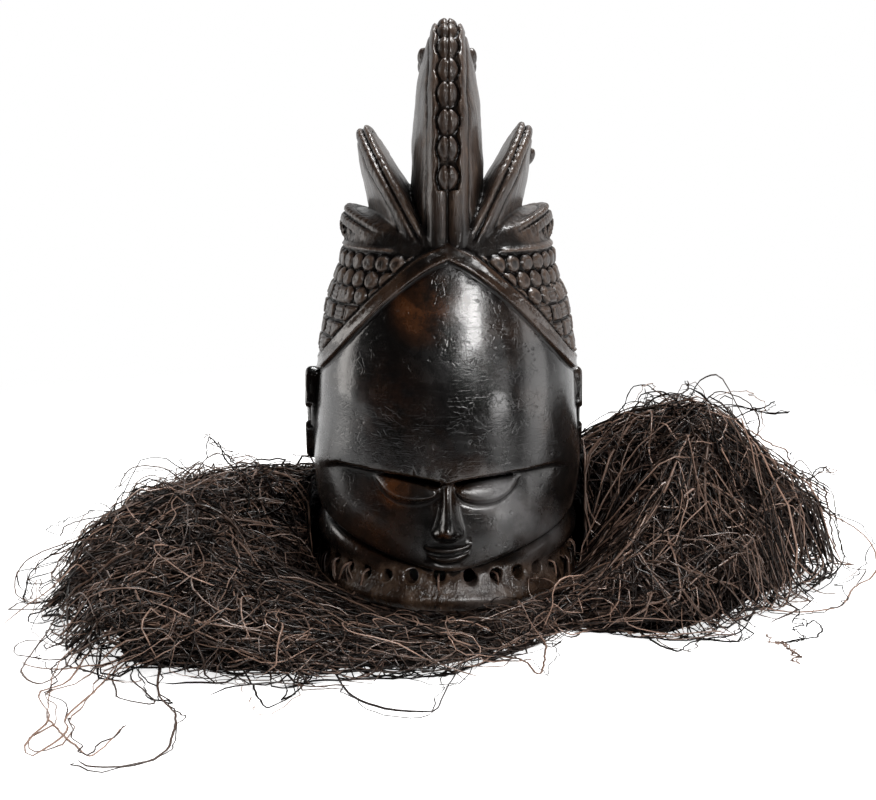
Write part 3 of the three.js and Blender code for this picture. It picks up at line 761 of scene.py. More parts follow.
# How raised (+) or hollow (-) the form is round some points
def bendOf(form, at):
    bend = np.zeros(len(at))
    for k in range(3):
        for sign in (-1, 1):
            step = np.zeros(3)
            step[k] = sign * wood["bendStep"]
            bend += sampleGrid(form, wood["low"], wood["pitch"], at + step) / 6
    return np.clip(bend, -2, 2)


def buildMask(material):
    form = maskForm()
    print("mask form", form.shape)
    points, faces = skinOf(form, wood["low"], wood["pitch"])
    print("mask skin", len(faces) * 2)
    skin = meshFrom("mask_skin", toFrame(points), faces, 4)
    shown = thinned(skin, min(1.0, wood["triangles"] / (len(faces) * 2)))
    shown.name = "carved_mask"
    co = np.empty(len(shown.vertices) * 3, np.float32)
    shown.vertices.foreach_get("co", co)
    at = (co.reshape(-1, 3) - np.array([axisX, axisY, 0])) * 1000
    turn = fromSection(at[:, 0], at[:, 1], sizesAt(headRows, at[:, 2]), head["fullness"])[1]
    above = aboveHair(turn, at[:, 2])
    setValues(shown, "bend", bendOf(form, at))
    setValues(shown, "coiffure", smoothStep(5.4, 7.0, above))
    setValues(shown, "band", 1 - smoothStep(5.0, 6.4, np.abs(above)))
    shown.polygons.foreach_set("use_smooth", np.ones(len(shown.polygons), bool))
    shown.normals_split_custom_set_from_vertices(normalsOf(form, at).tolist())
    print("carved mask", len(shown.polygons))
    return addPiece("carved_mask", shown, ["wooden_mask"], material)


# Raffia heap: direction in degrees from the front, + towards +X; how far it reaches; its
# height beside the mask, half way out and near its edge
heapRows = [
    [-180, 158, 42, 36, 20],
    [-150, 186, 50, 42, 26],
    [-120, 244, 64, 56, 40],
    [-95, 284, 64, 66, 52],
    [-75, 292, 30, 63, 36],
    [-60, 320, 15, 54, 34],
    [-45, 332, 9, 42, 28],
    [-28, 292, 4, 22, 19],
    [-12, 262, 1.5, 9, 13],
    [0, 234, 1.5, 7, 11],
    [14, 200, 1.5, 7, 10],
    [30, 176, 3, 11, 12],
    [45, 234, 4, 40, 30],
    [60, 254, 8, 84, 50],
    [75, 276, 28, 120, 74],
    [90, 288, 84, 134, 84],
    [110, 262, 94, 112, 66],
    [135, 205, 58, 58, 36],
    [180, 158, 42, 36, 20],
]
heapShares = np.array([0, 0.24, 0.5, 0.78, 0.93, 1.0, 1.05])
heapInside = {"half": 108, "front": 119.5, "back": 122.0, "fullness": 2.3}


# Heap at some points: its height, how far out they are, and its inner and outer distance there
def heapAt(x, y):
    direction = np.degrees(np.arctan2(x, -y))
    reach, beside, half, far = np.moveaxis(curveThrough(heapRows, direction), -1, 0)
    turn = direction * degree
    reach = reach * (1 + 0.022 * np.sin(9 * turn + 1) + 0.018 * np.sin(17 * turn + 2))
    s = np.abs(np.sin(turn))
    c = np.cos(turn)
    depth = np.where(c > 0, heapInside["front"], heapInside["back"])
    power = heapInside["fullness"]
    inner = ((s / heapInside["half"]) ** power + (np.abs(c) / depth) ** power) ** (-1 / power)
    share = (np.hypot(x, y) - inner) / (reach - inner)
    heights = np.stack([beside, (beside + half) * 0.53, half, far, far * 0.75, far * 0 + 7, far * 0], -1)
    i = np.clip(np.searchsorted(heapShares, share, side="right") - 1, 0, 5)
    f = np.clip((share - heapShares[i]) / (heapShares[i + 1] - heapShares[i]), 0, 1)
    low = np.take_along_axis(heights, i[..., None], -1)[..., 0]
    high = np.take_along_axis(heights, (i + 1)[..., None], -1)[..., 0]
    return low + (high - low) * f, share, inner, reach


# Inner and outer distance of the heap in some directions
def reachAt(direction):
    return heapAt(np.sin(direction) * 10, -np.cos(direction) * 10)[2:]


# Kinked fibres that wander over the heap at a height of their own
def wander(rng, start, heading, layer, step, steps, wobble, kinks, lift, outside):
    x, y = start
    count = len(x)
    curl = rng.normal(0, wobble, count)
    rise = np.zeros(count)
    z = heapAt(x, y)[0] * layer
    points = []
    for i in range(steps + 1):
        form, share, inner, reach = heapAt(x, y)
        arch = 4 * lift * (i / steps) * (1 - i / steps)
        rise = 0.6 * rise + rng.normal(0, 1.3, count)
        kinked = rng.random(count) < kinks
        rise = rise + kinked * rng.normal(0, 4, count)
        z = z + 0.55 * (form * layer + arch - z) + rise * np.minimum(1, form / 36 + 0.2)
        z = np.maximum(z, 0.9)
        points.append(np.stack([x, y, z], 1))
        curl = 0.8 * curl + rng.normal(0, wobble * 0.6, count)
        heading = heading + curl + kinked * rng.normal(0, 0.9, count)
        x = x + step * np.sin(heading)
        y = y - step * np.cos(heading)
        distance = np.maximum(np.hypot(x, y), 1)
        direction = np.arctan2(x, -y)
        form, share, inner, reach = heapAt(x, y)
        limit = np.where(share < 0, inner, np.minimum(distance, reach * outside))
        turned = (limit != distance) * np.sign(np.sin(heading - direction) + 1e-6) * 0.7
        heading = heading + np.where(share < 0, turned * -0.6, turned)
        x = x * limit / distance
        y = y * limit / distance
    return np.stack(points, 1)


# Flat tubes with three sides and thin ends along many paths with as many points each
def tubesAlong(rng, paths, width):
    count, stops, _ = paths.shape
    along = np.gradient(paths, axis=1)
    along /= np.maximum(np.linalg.norm(along, axis=2, keepdims=True), 1e-6)
    lean = rng.normal(0, 1, (count, 1, 3)) + np.array([0, 0, 1.2])
    side = np.cross(along, lean)
    side /= np.maximum(np.linalg.norm(side, axis=2, keepdims=True), 1e-6)
    other = np.cross(along, side)
    taper = np.minimum(1, np.minimum(np.arange(stops), np.arange(stops)[::-1]) * 0.7 + 0.05)
    size = width[:, None, None] * taper[None, :, None]
    corners = []
    for k in range(3):
        angle = math.pi / 2 + k * 2 * math.pi / 3
        corners.append(paths + side * size * math.cos(angle) + other * size * 0.6 * math.sin(angle))
    points = np.stack(corners, 2).reshape(-1, 3)
    points[:, 2] = np.maximum(points[:, 2], 0.15)
    base = (np.arange(count)[:, None, None] * stops + np.arange(stops - 1)[None, :, None]) * 3
    k = np.arange(3)[None, None, :]
    after = (k + 1) % 3
    faces = np.stack([base + k, base + after, base + 3 + after, base + 3 + k], -1).reshape(-1, 4)
    return points, faces, stops * 3


def fibrePiece(name, node, groups, material):
    allPoints = []
    allFaces = []
    shades = []
    offset = 0
    for rng, paths, width, light in groups:
        points, faces, each = tubesAlong(rng, paths, width)
        allPoints.append(points)
        allFaces.append(faces + offset)
        # light darkens the fibres that lie deep or in front: painted shade
        shades.append(np.repeat(rng.random(len(paths)) * light, each))
        offset += len(points)
    mesh = meshFrom(name, toFrame(np.concatenate(allPoints)), np.concatenate(allFaces), 4)
    setValues(mesh, "shade", np.concatenate(shades))
    mesh.polygons.foreach_set("use_smooth", np.ones(len(mesh.polygons), bool))
    print(name, len(mesh.polygons) * 2)
    return addPiece(name, mesh, [node], material)


# Fibres by region: sector in degrees from the front, how far courses spread, and how light they are kept;
# the darker front is painted shade
raffia = {
    "front": {"node": "raffia_front", "sector": (-24, 38), "count": 1250, "spread": 1.3, "light": 0.7,
              "seed": 21},
    "right": {"node": "raffia_right", "sector": (38, 130), "count": 2350, "spread": 0.55, "light": 0.95,
              "seed": 22},
    "left": {"node": "raffia_left", "sector": (-130, -24), "count": 2450, "spread": 1.15, "light": 0.95,
             "seed": 23},
    "back": {"node": "raffia_back", "sector": (130, 230), "count": 1250, "spread": 0.9, "light": 0.95,
             "seed": 24},
    "steps": 12,
}


def heapFibres(region, rng):
    amount = 1.0
    count = int(region["count"] * amount)
    low, high = region["sector"]
    direction = rng.uniform(low, high, count) * degree
    inner, reach = reachAt(direction)
    out = rng.random(count) ** 0.7
    distance = inner + out * (reach * 0.99 - inner)
    start = (distance * np.sin(direction), -distance * np.cos(direction))
    flow = 0.7 * np.sin(start[0] / 61 + 1.3) + 0.7 * np.sin(start[1] / 47 + 0.4)
    heading = direction + flow + rng.normal(0, region["spread"], count)
    heading = heading + np.where(rng.random(count) < out, math.pi, 0)
    deep = rng.random(count) ** 1.5
    layer = 1.03 - 0.5 * deep
    step = rng.uniform(6, 13, count)
    outside = rng.uniform(0.9, 1.03, count)
    paths = wander(rng, start, heading, layer, step, raffia["steps"], 0.17, 0.12, 0, outside)
    # deeper fibres get a darker shade: painted shade
    return rng, paths, rng.uniform(0.5, 1.2, count), region["light"] * (1 - 0.85 * deep)


# Loose ones that stand out past the heap or arch over it
def looseFibres(region, rng):
    count = int(region["count"] * 0.15)
    low, high = region["sector"]
    direction = rng.uniform(low, high, count) * degree
    inner, reach = reachAt(direction)
    distance = inner + rng.uniform(0.45, 1.0, count) * (reach - inner)
    start = (distance * np.sin(direction), -distance * np.cos(direction))
    heading = direction + rng.normal(0, 0.9, count)
    lift = np.abs(rng.normal(0, 11, count))
    step = rng.uniform(5, 9, count)
    outside = 1.02 + 0.13 * rng.random(count) ** 2
    layer = np.full(count, 1.0)
    paths = wander(rng, start, heading, layer, step, raffia["steps"], 0.26, 0.14, lift, outside)
    return rng, paths, rng.uniform(0.3, 0.8, count), 1.0


# Strands whose course shows in the open: points in millimetres from the mask's axis
strands = {
    "left": [
        [(-240, -190, 12), (-261, -220, 3), (-260, -259, 2), (-248, -315, 2), (-234, -344, 2),
         (-208, -384, 2), (-203, -366, 2), (-195, -337, 2)],
        [(-196, -190, 14), (-216, -234, 3), (-229, -288, 2), (-236, -333, 2), (-229, -355, 2),
         (-242, -391, 2), (-248, -382, 2), (-249, -366, 2), (-245, -326, 2), (-258, -284, 2),
         (-244, -263, 2), (-240, -190, 9)],
        [(-200, -180, 18), (-218, -234, 4), (-207, -292, 2), (-181, -301, 2), (-208, -246, 3),
         (-190, -180, 18)],
        [(-196, -190, 16), (-190, -260, 4), (-184, -288, 2), (-171, -322, 2), (-166, -376, 2),
         (-173, -396, 2), (-193, -404, 2), (-207, -402, 2), (-216, -392, 3)],
        [(-270, -100, 30), (-280, -144, 6), (-280, -238, 2), (-261, -263, 2), (-251, -230, 4),
         (-230, -150, 24)],
        [(-250, -60, 44), (-282, -66, 40), (-304, -62, 31), (-320, -66, 19), (-322, -80, 8),
         (-308, -98, 3), (-286, -110, 10)],
        [(-260, -40, 46), (-298, -50, 30), (-315, -60, 20), (-320, -74, 4), (-312, -94, 3),
         (-286, -110, 9)],
        [(-262, 0, 48), (-287, -20, 32), (-301, -20, 18), (-309, -24, 4), (-303, -40, 2),
         (-284, -50, 12)],
        [(-240, 0, 56), (-271, 0, 44), (-301, 0, 35), (-306, 0, 26)],
        [(-262, 14, 62), (-257, 20, 73), (-243, 20, 78), (-227, 20, 76), (-205, 20, 62), (-180, 10, 60)],
        [(-188, 0, 88), (-184, 0, 108), (-170, 0, 87), (-157, -4, 70), (-146, -12, 58)],
        [(-181, 2, 104), (-172, 0, 92), (-160, -2, 78), (-150, -10, 62)],
        [(-194, 10, 66), (-194, 10, 76), (-173, 10, 80), (-143, 10, 81), (-114, 12, 72), (-104, 30, 60)],
    ],
    "right": [
        [(120, -150, 8), (141, -175, 2), (157, -202, 2), (175, -179, 2), (196, -171, 2), (214, -150, 6)],
        [(150, -150, 8), (169, -171, 2), (198, -183, 2), (208, -167, 2), (208, -138, 6)],
        [(224, -120, 8), (251, -117, 2), (286, -108, 2), (306, -62, 2), (330, -30, 4), (341, 6, 14),
         (330, 30, 26), (300, 40, 40)],
        [(226, -181, 2), (231, -195, 2), (238, -217, 2)],
        [(231, -185, 2), (248, -179, 2), (258, -171, 2), (261, -138, 2), (254, -149, 2)],
        [(190, 6, 124), (224, 10, 132), (254, 10, 125), (270, 10, 126)],
        [(200, 0, 112), (226, 0, 124), (249, 0, 132), (256, 0, 136)],
        [(252, 0, 50), (276, 0, 66), (297, 0, 82), (302, 0, 77)],
        [(248, -2, 48), (274, -1, 62), (296, 1, 80), (300, 2, 84)],
        [(120, 10, 104), (136, 0, 126), (145, 0, 146), (155, 0, 148), (170, 0, 138), (182, 0, 122)],
        [(112, 8, 90), (128, 0, 114), (146, 0, 129), (153, 0, 140), (168, 0, 142), (186, -4, 128)],
        [(187, 4, 152), (186, 0, 146), (171, 0, 138), (158, -4, 122)],
        [(270, 4, 86), (266, 0, 96), (259, 0, 99), (250, 0, 103), (236, 0, 112), (214, -6, 120)],
        [(196, 0, 132), (211, 0, 144), (230, 0, 138), (243, 0, 121), (242, 0, 110), (226, -4, 104)],
        [(240, -30, 88), (278, -40, 70), (293, -40, 48), (301, -40, 23), (292, -44, 8), (270, -60, 8)],
        [(236, -24, 84), (274, -40, 69), (284, -40, 64), (295, -40, 57), (299, -40, 50)],
    ],
    "front": [
        [(-90, -150, 12), (-81, -190, 6), (-65, -278, 2), (-41, -312, 2), (-10, -318, 2), (-4, -278, 2),
         (15, -220, 6), (30, -180, 8)],
        [(-150, -180, 14), (-144, -210, 6), (-115, -306, 2), (-94, -274, 2), (-87, -200, 8)],
        [(-1, -150, 10), (16, -210, 4), (49, -224, 2), (60, -250, 2), (67, -200, 6), (60, -160, 8)],
        [(107, -140, 6), (111, -167, 2), (119, -155, 2), (120, -136, 6)],
    ],
    "back": [],
}


# Even steps along a smooth curve through some points, drawn a little towards straight lines
def evenly(points, stops):
    points = np.array(points, float)
    length = np.concatenate([[0], np.cumsum(np.linalg.norm(np.diff(points, axis=0), axis=1))])
    at = np.linspace(0, length[-1], stops)
    straight = np.stack([np.interp(at, length, points[:, k]) for k in range(3)], 1)
    rows = np.column_stack([length, points])
    return straight * 0.1 + curveThrough(rows, at) * 0.9


def namedStrands(region, rng):
    paths = []
    widths = []
    stops = 49
    for points in strands[region]:
        base = evenly(points, stops)
        for double in range(2):
            drift = np.cumsum(rng.normal(0, 0.55, (stops, 3)), axis=0)
            drift -= np.linspace(0, 1, stops)[:, None] * drift[-1]
            path = base + drift * (1 + 3 * double) * np.array([1, 1, 0.3])
            path[:, 2] = np.maximum(path[:, 2], 1.3)
            paths.append(path)
            widths.append(rng.uniform(0.7, 0.95) if double == 0 else rng.uniform(0.35, 0.6))
    return rng, np.array(paths), np.array(widths), 1.0


# Ties that pass through the rim's holes, hang down the rim and end in the heap
tying = {"frontHalf": 42, "frontPlaces": (-4, 35.6), "frontCount": 2, "count": 7}


def rimTies(rng, low, high):
    paths = []
    widths = []
    for x, y, ox, oy in lashingPlaces():
        direction = math.degrees(math.atan2(x, -y))
        if not low <= direction < high and not low <= direction + 360 < high:
            continue
        inFront = abs(direction) < tying["frontHalf"]
        chosen = any(abs(x - c) < 6 for c in tying["frontPlaces"]) or x < -60
        if inFront and not chosen:
            continue
        for _ in range(tying["frontCount"] if inFront else tying["count"]):
            swing = rng.normal(0, 3 if inFront else 9)
            far = rng.uniform(6, 16) if inFront else rng.uniform(18, 60)
            tx, ty = -oy, ox
            course = [(-12, 0, 25), (-2, 0, 26), (2.6, 0.1, 24), (4.2, 0.4, 16), (4.6, 0.7, 8), (far, 1, 3)]
            points = [(x + ox * o + tx * swing * s, y + oy * o + ty * swing * s, z) for o, s, z in course]
            path = evenly(points, 25) + np.cumsum(rng.normal(0, 0.22, (25, 3)), axis=0)
            path[:, 2] = np.maximum(path[:, 2], 1.2)
            paths.append(path)
            widths.append(rng.uniform(0.7, 1.25))
    return rng, np.array(paths), np.array(widths), 1.0


# The part of the right heap that is still plaited, with light through its meshes
def plaitedPatch(rng):
    stops = 25
    u = np.linspace(0, 1, stops)
    paths = []
    widths = []
    for i in range(22):
        v = i / 21
        x = 214 + 92 * u - 8 * v
        z = 96 - 34 * u**1.4 - 46 * v + 4 * np.sin(u * 3)
        y = 4 - 26 * v + 8 * np.sin(u * 2.6) + rng.normal(0, 0.8)
        paths.append(np.stack([x, y + rng.normal(0, 0.5, stops), z + rng.normal(0, 0.5, stops)], 1))
        widths.append(rng.uniform(0.7, 1.1))
    for i in range(16):
        v = i / 15
        x = 220 + 84 * v + 6 * u
        z = 98 - 34 * v**1.4 - 50 * u
        y = 4 - 26 * u + 8 * np.sin(v * 2.6) + 1.2 * np.sin(u * 34 + i * math.pi)
        paths.append(np.stack([x + rng.normal(0, 0.6, stops), y, z + rng.normal(0, 0.4, stops)], 1))
        widths.append(rng.uniform(0.6, 0.95))
    return rng, np.array(paths), np.array(widths), 1.0


# Painted shade inside the heap: a near-black sheet under the fibres
def buildPaintedShadeCore(material):
    turns = 120
    shares = np.array([0, 0.0, 0.1, 0.2, 0.3, 0.4, 0.5, 0.6, 0.7, 0.78, 0.84, 0.84])
    rng = np.random.default_rng(31)
    direction = np.linspace(-math.pi, math.pi, turns, endpoint=False)
    inner, reach = reachAt(direction)
    rings = []
    for k, s in enumerate(shares):
        distance = inner + 1 + s * (reach - inner)
        x = distance * np.sin(direction)
        y = -distance * np.cos(direction)
        height = heapAt(x, y)[0] * 0.6 * (1 - 0.75 * smoothStep(0.5, 0.84, s)) + rng.normal(0, 1.2, turns)
        z = np.full(turns, 0.3) if k in (0, len(shares) - 1) else np.maximum(height, 0.8)
        rings.append(np.stack([x, y, z], 1))
    points = np.concatenate(rings)
    count = len(shares)
    k, i = np.meshgrid(np.arange(count), np.arange(turns), indexing="ij")
    a = k * turns + i
    b = (k + 1) % count * turns + i
    c = (k + 1) % count * turns + (i + 1) % turns
    d = k * turns + (i + 1) % turns
    mesh = meshFrom("raffia_shade_core", toFrame(points), np.stack([a, b, c, d], -1).reshape(-1, 4), 4)
    mesh.polygons.foreach_set("use_smooth", np.ones(len(mesh.polygons), bool))
    nodes = [raffia[r]["node"] for r in ("front", "right", "left", "back")]
    setValues(mesh, "shade", np.zeros(len(mesh.vertices)))
    return addPiece("raffia_shade_core", mesh, nodes, material)


def buildRaffia(material, shadeCoreMaterial):
    buildPaintedShadeCore(shadeCoreMaterial)
    for name in ("front", "right", "left", "back"):
        region = raffia[name]
        rng = np.random.default_rng(region["seed"])
        groups = [heapFibres(region, rng), looseFibres(region, rng)]
        ties = rimTies(rng, *region["sector"])
        if len(ties[1]):
            groups.append(ties)
        if strands[name]:
            groups.append(namedStrands(name, rng))
        if name == "right":
            groups.append(plaitedPatch(rng))
        fibrePiece("raffia_fibres_" + name, region["node"], groups, material)


# Small helpers for shaders
def put(tree, kind, inputs=None, **settings):
    node = tree.nodes.new(kind)
    for key, value in settings.items():
        setattr(node, key, value)
    for key, value in (inputs or {}).items():
        if isinstance(value, bpy.types.NodeSocket):
            tree.links.new(value, node.inputs[key])
        else:
            node.inputs[key].default_value = value
    return node


def maths(tree, operation, *values, clamp=False):
    node = put(tree, "ShaderNodeMath", dict(enumerate(values)), operation=operation, use_clamp=clamp)
    return node.outputs[0]


def mixed(tree, share, a, b, mode="MIX"):
    inputs = {0: share, 6: a, 7: b}
    return put(tree, "ShaderNodeMix", inputs, data_type="RGBA", blend_type=mode).outputs[2]


def ranged(tree, value, low, high, start=0.0, end=1.0):
    inputs = {"Value": value, "From Min": low, "From Max": high, "To Min": start, "To Max": end}
    return put(tree, "ShaderNodeMapRange", inputs, interpolation_type="SMOOTHSTEP").outputs[0]


def noise(tree, vector, scale, detail=4.0, roughness=0.55):
    inputs = {"Vector": vector, "Scale": scale, "Detail": detail, "Roughness": roughness}
    return put(tree, "ShaderNodeTexNoise", inputs).outputs[0]


def stretched(tree, vector, scale, turn=(0, 0, 0)):
    return put(tree, "ShaderNodeMapping", {"Vector": vector, "Scale": scale, "Rotation": turn}).outputs[0]


def attribute(tree, name):
    return put(tree, "ShaderNodeAttribute", attribute_name=name).outputs["Fac"]


def farFrom(tree, place, centre):
    return put(tree, "ShaderNodeVectorMath", {0: place, 1: centre}, operation="DISTANCE").outputs["Value"]


# The strongest of some round places, each full up to a share of its radius
def strongest(tree, place, places, soft):
    most = None
    for centre, radius, strength in places:
        apart = farFrom(tree, place, [c / 1000 for c in centre])
        one = ranged(tree, apart, radius / 1000, radius * soft / 1000)
        one = maths(tree, "MULTIPLY", one, strength)
        most = one if most is None else maths(tree, "MAXIMUM", most, one)
    return most


def newMaterial(name):
    material = bpy.data.materials.new(name)
    material.use_nodes = True
    tree = material.node_tree
    tree.nodes.clear()
    return material, tree


def colour(*values):
    return (*values, 1.0)


woodColours = {
    "black": colour(0.0042, 0.0036, 0.0034),
    "brown": colour(0.022, 0.0115, 0.0068),
    "rust": colour(0.120, 0.040, 0.011),
    "worn": colour(0.075, 0.045, 0.029),
    "band": colour(0.045, 0.024, 0.014),
    # painted sheen: a silvery grey laid on the right cheek, lid and rim
    "paintedSheen": colour(0.17, 0.166, 0.168),
    "grey": colour(0.056, 0.032, 0.020),
    "dust": colour(0.150, 0.096, 0.064),
}
# Places on the wood: centre and radius in millimetres, strength; first the brown worn ones
wornPlaces = [
    [(-17, -88, 222), 34, 0.9],
    [(-40, -96, 88), 20, 0.9],
    [(-56, -88, 62), 50, 0.22],
    [(-4, -124, 58), 9, 1.0],
    [(-46, -94, 150), 52, 0.12],
]
# Silvery bloom on a dull polish
# Places of dull polish on the right of the face and on the rim, which also carry a painted silvery sheen
dullAndSheenPlaces = [
    [(35, -96, 87), 26, 1.0],
    [(50, -90, 68), 34, 0.7],
    [(72, -76, 46), 36, 0.5],
    [(26, -112, 14), 30, 0.5],
]
# Painted shade under and between the lobes: black laid where the lobes shade the head
paintedShadePlaces = [
    [(-19, -64, 262), 36, 1.0],
    [(-44, -62, 262), 26, 1.0],
    [(-16, -20, 290), 50, 1.0],
    [(19, -64, 262), 36, 1.0],
    [(44, -62, 262), 26, 1.0],
    [(16, -20, 290), 50, 1.0],
]


def woodMaterial():
    material, tree = newMaterial("polished_dark_wood")
    place = put(tree, "ShaderNodeTexCoord").outputs["Object"]
    inputs = {0: place, 1: (axisX, axisY, 0)}
    place = put(tree, "ShaderNodeVectorMath", inputs, operation="SUBTRACT").outputs[0]
    split = put(tree, "ShaderNodeSeparateXYZ", {0: place})
    bend = attribute(tree, "bend")
    hair = attribute(tree, "coiffure")
    rim = ranged(tree, split.outputs[2], 0.036, 0.027)
    cloud = noise(tree, place, 16, 6, 0.6)
    patchy = noise(tree, place, 46, 6, 0.65)
    fine = noise(tree, place, 300, 5, 0.6)
    grain = noise(tree, stretched(tree, place, (230, 230, 16)), 1.0, 4, 0.6)
    matt = maths(tree, "MAXIMUM", hair, rim)

    # Colour of the polish, of the dry coiffure and of the dry rim
    base = mixed(tree, ranged(tree, cloud, 0.47, 0.68), woodColours["black"], woodColours["brown"])
    worn = strongest(tree, place, wornPlaces, 0.1)
    worn = maths(tree, "MULTIPLY", worn, ranged(tree, patchy, 0.34, 0.66))
    base = mixed(tree, worn, base, woodColours["rust"])
    crown = mixed(tree, ranged(tree, grain, 0.38, 0.66), woodColours["brown"], woodColours["grey"])
    crown = mixed(tree, ranged(tree, patchy, 0.53, 0.75, 0, 0.6), crown, woodColours["dust"])
    base = mixed(tree, maths(tree, "MULTIPLY", hair, 0.9), base, crown)
    rimColour = mixed(tree, ranged(tree, patchy, 0.34, 0.54), woodColours["brown"], woodColours["grey"])
    rimColour = mixed(tree, ranged(tree, patchy, 0.44, 0.66, 0, 0.9), rimColour, woodColours["dust"])
    base = mixed(tree, maths(tree, "MULTIPLY", rim, 0.9), base, rimColour)
    band = maths(tree, "MULTIPLY", attribute(tree, "band"), ranged(tree, patchy, 0.3, 0.6, 0.2, 0.8))
    base = mixed(tree, band, base, woodColours["band"])
    raised = ranged(tree, maths(tree, "ADD", bend, maths(tree, "MULTIPLY", patchy, 0.6)), 0.55, 1.0)
    raised = maths(tree, "MULTIPLY", raised, maths(tree, "MULTIPLY_ADD", matt, 0.65, 0.15))
    base = mixed(tree, raised, base, woodColours["worn"])

    # Painted shade: black laid under and between the lobes, and in the hollows and creases
    paintedShade = strongest(tree, place, paintedShadePlaces, 0.35)
    paintedShade = maths(tree, "MULTIPLY", paintedShade, ranged(tree, bend, 0.45, 0.1))
    base = mixed(tree, maths(tree, "MULTIPLY", paintedShade, 0.9), base, woodColours["black"])
    # Painted shade in the hollows and creases, laid as black; the same mask also roughens them and takes
    # away their shine
    held = maths(tree, "MULTIPLY_ADD", matt, 0.4, 0.6)
    deep = maths(tree, "MULTIPLY", ranged(tree, bend, -0.04, -0.5), held)
    base = mixed(tree, maths(tree, "MULTIPLY", deep, 0.94), base, woodColours["black"])

    # Roughness, and a painted silvery sheen laid on the dull places
    rough = maths(tree, "MULTIPLY_ADD", hair, 0.15, 0.2)
    rough = maths(tree, "MULTIPLY_ADD", ranged(tree, patchy, 0.35, 0.75), 0.12, rough)
    rough = maths(tree, "MULTIPLY_ADD", deep, 0.4, rough)
    dullAndSheen = strongest(tree, place, dullAndSheenPlaces, 0.2)
    paintedSheen = maths(tree, "MULTIPLY", dullAndSheen, ranged(tree, patchy, 0.36, 0.64, 0.25, 0.9))
    paintedSheen = maths(tree, "MULTIPLY", paintedSheen, maths(tree, "SUBTRACT", 1.0, deep))
    base = mixed(tree, paintedSheen, base, woodColours["paintedSheen"])
    rough = maths(tree, "MULTIPLY_ADD", dullAndSheen, 0.16, rough)

    # Small relief: scratches, pits, crackle, and grain where the wood is dry
    scratches = noise(tree, stretched(tree, place, (60, 60, 900), (0.5, 0.9, 0.3)), 1.0, 2, 0.5)
    scratches = ranged(tree, scratches, 0.60, 0.68)
    pits = put(tree, "ShaderNodeTexVoronoi", {"Vector": place, "Scale": 130.0}).outputs["Distance"]
    pits = maths(tree, "MULTIPLY", ranged(tree, pits, 0.26, 0.1), ranged(tree, patchy, 0.5, 0.62))
    bent = put(tree, "ShaderNodeTexNoise", {"Vector": place, "Scale": 60.0, "Detail": 2.0}).outputs["Color"]
    warped = mixed(tree, 0.02, place, bent)
    inputs = {"Vector": warped, "Scale": 170.0}
    crackle = put(tree, "ShaderNodeTexVoronoi", inputs, feature="DISTANCE_TO_EDGE")
    crackle = ranged(tree, crackle.outputs["Distance"], 0.10, 0.0)
    crackle = maths(tree, "MULTIPLY", crackle, ranged(tree, noise(tree, place, 75, 3), 0.48, 0.6))
    height = maths(tree, "MULTIPLY", fine, 0.3)
    height = maths(tree, "SUBTRACT", height, maths(tree, "MULTIPLY", scratches, 0.07))
    height = maths(tree, "SUBTRACT", height, maths(tree, "MULTIPLY", pits, 0.8))
    height = maths(tree, "SUBTRACT", height, maths(tree, "MULTIPLY", crackle, 0.2))
    height = maths(tree, "MULTIPLY_ADD", maths(tree, "MULTIPLY", grain, matt), 3.2, height)
    height = maths(tree, "MULTIPLY_ADD", maths(tree, "MULTIPLY", patchy, matt), 1.2, height)
    bump = put(tree, "ShaderNodeBump", {"Height": height, "Strength": 0.6, "Distance": 0.0008})

    surface = put(tree, "ShaderNodeBsdfPrincipled", {
        "Base Color": base,
        "Roughness": rough,
        "Normal": bump.outputs[0],
        "IOR": 1.55,
        "Coat Weight": maths(tree, "MULTIPLY_ADD", dullAndSheen, -0.25, 0.3),
        "Coat Roughness": 0.14,
    })
    shine = maths(tree, "SUBTRACT", 0.55, maths(tree, "MULTIPLY", deep, 0.45))
    shine = maths(tree, "MULTIPLY_ADD", hair, -0.1, shine, clamp=True)
    shine = maths(tree, "MULTIPLY", shine, maths(tree, "MULTIPLY_ADD", paintedShade, -0.7, 1.0))
    tree.links.new(shine, surface.inputs["Specular IOR Level"])
    put(tree, "ShaderNodeOutputMaterial", {"Surface": surface.outputs[0]})
    return material


fibreColours = {
    "dark": colour(0.004, 0.0023, 0.0018),
    "light": colour(0.36, 0.22, 0.16),
    "rust": colour(0.09, 0.04, 0.02),
    # inside colours: near black for the heap's core, painted shade
    "inside": colour(0.0012, 0.001, 0.001),
    "insideLight": colour(0.003, 0.002, 0.002),
}


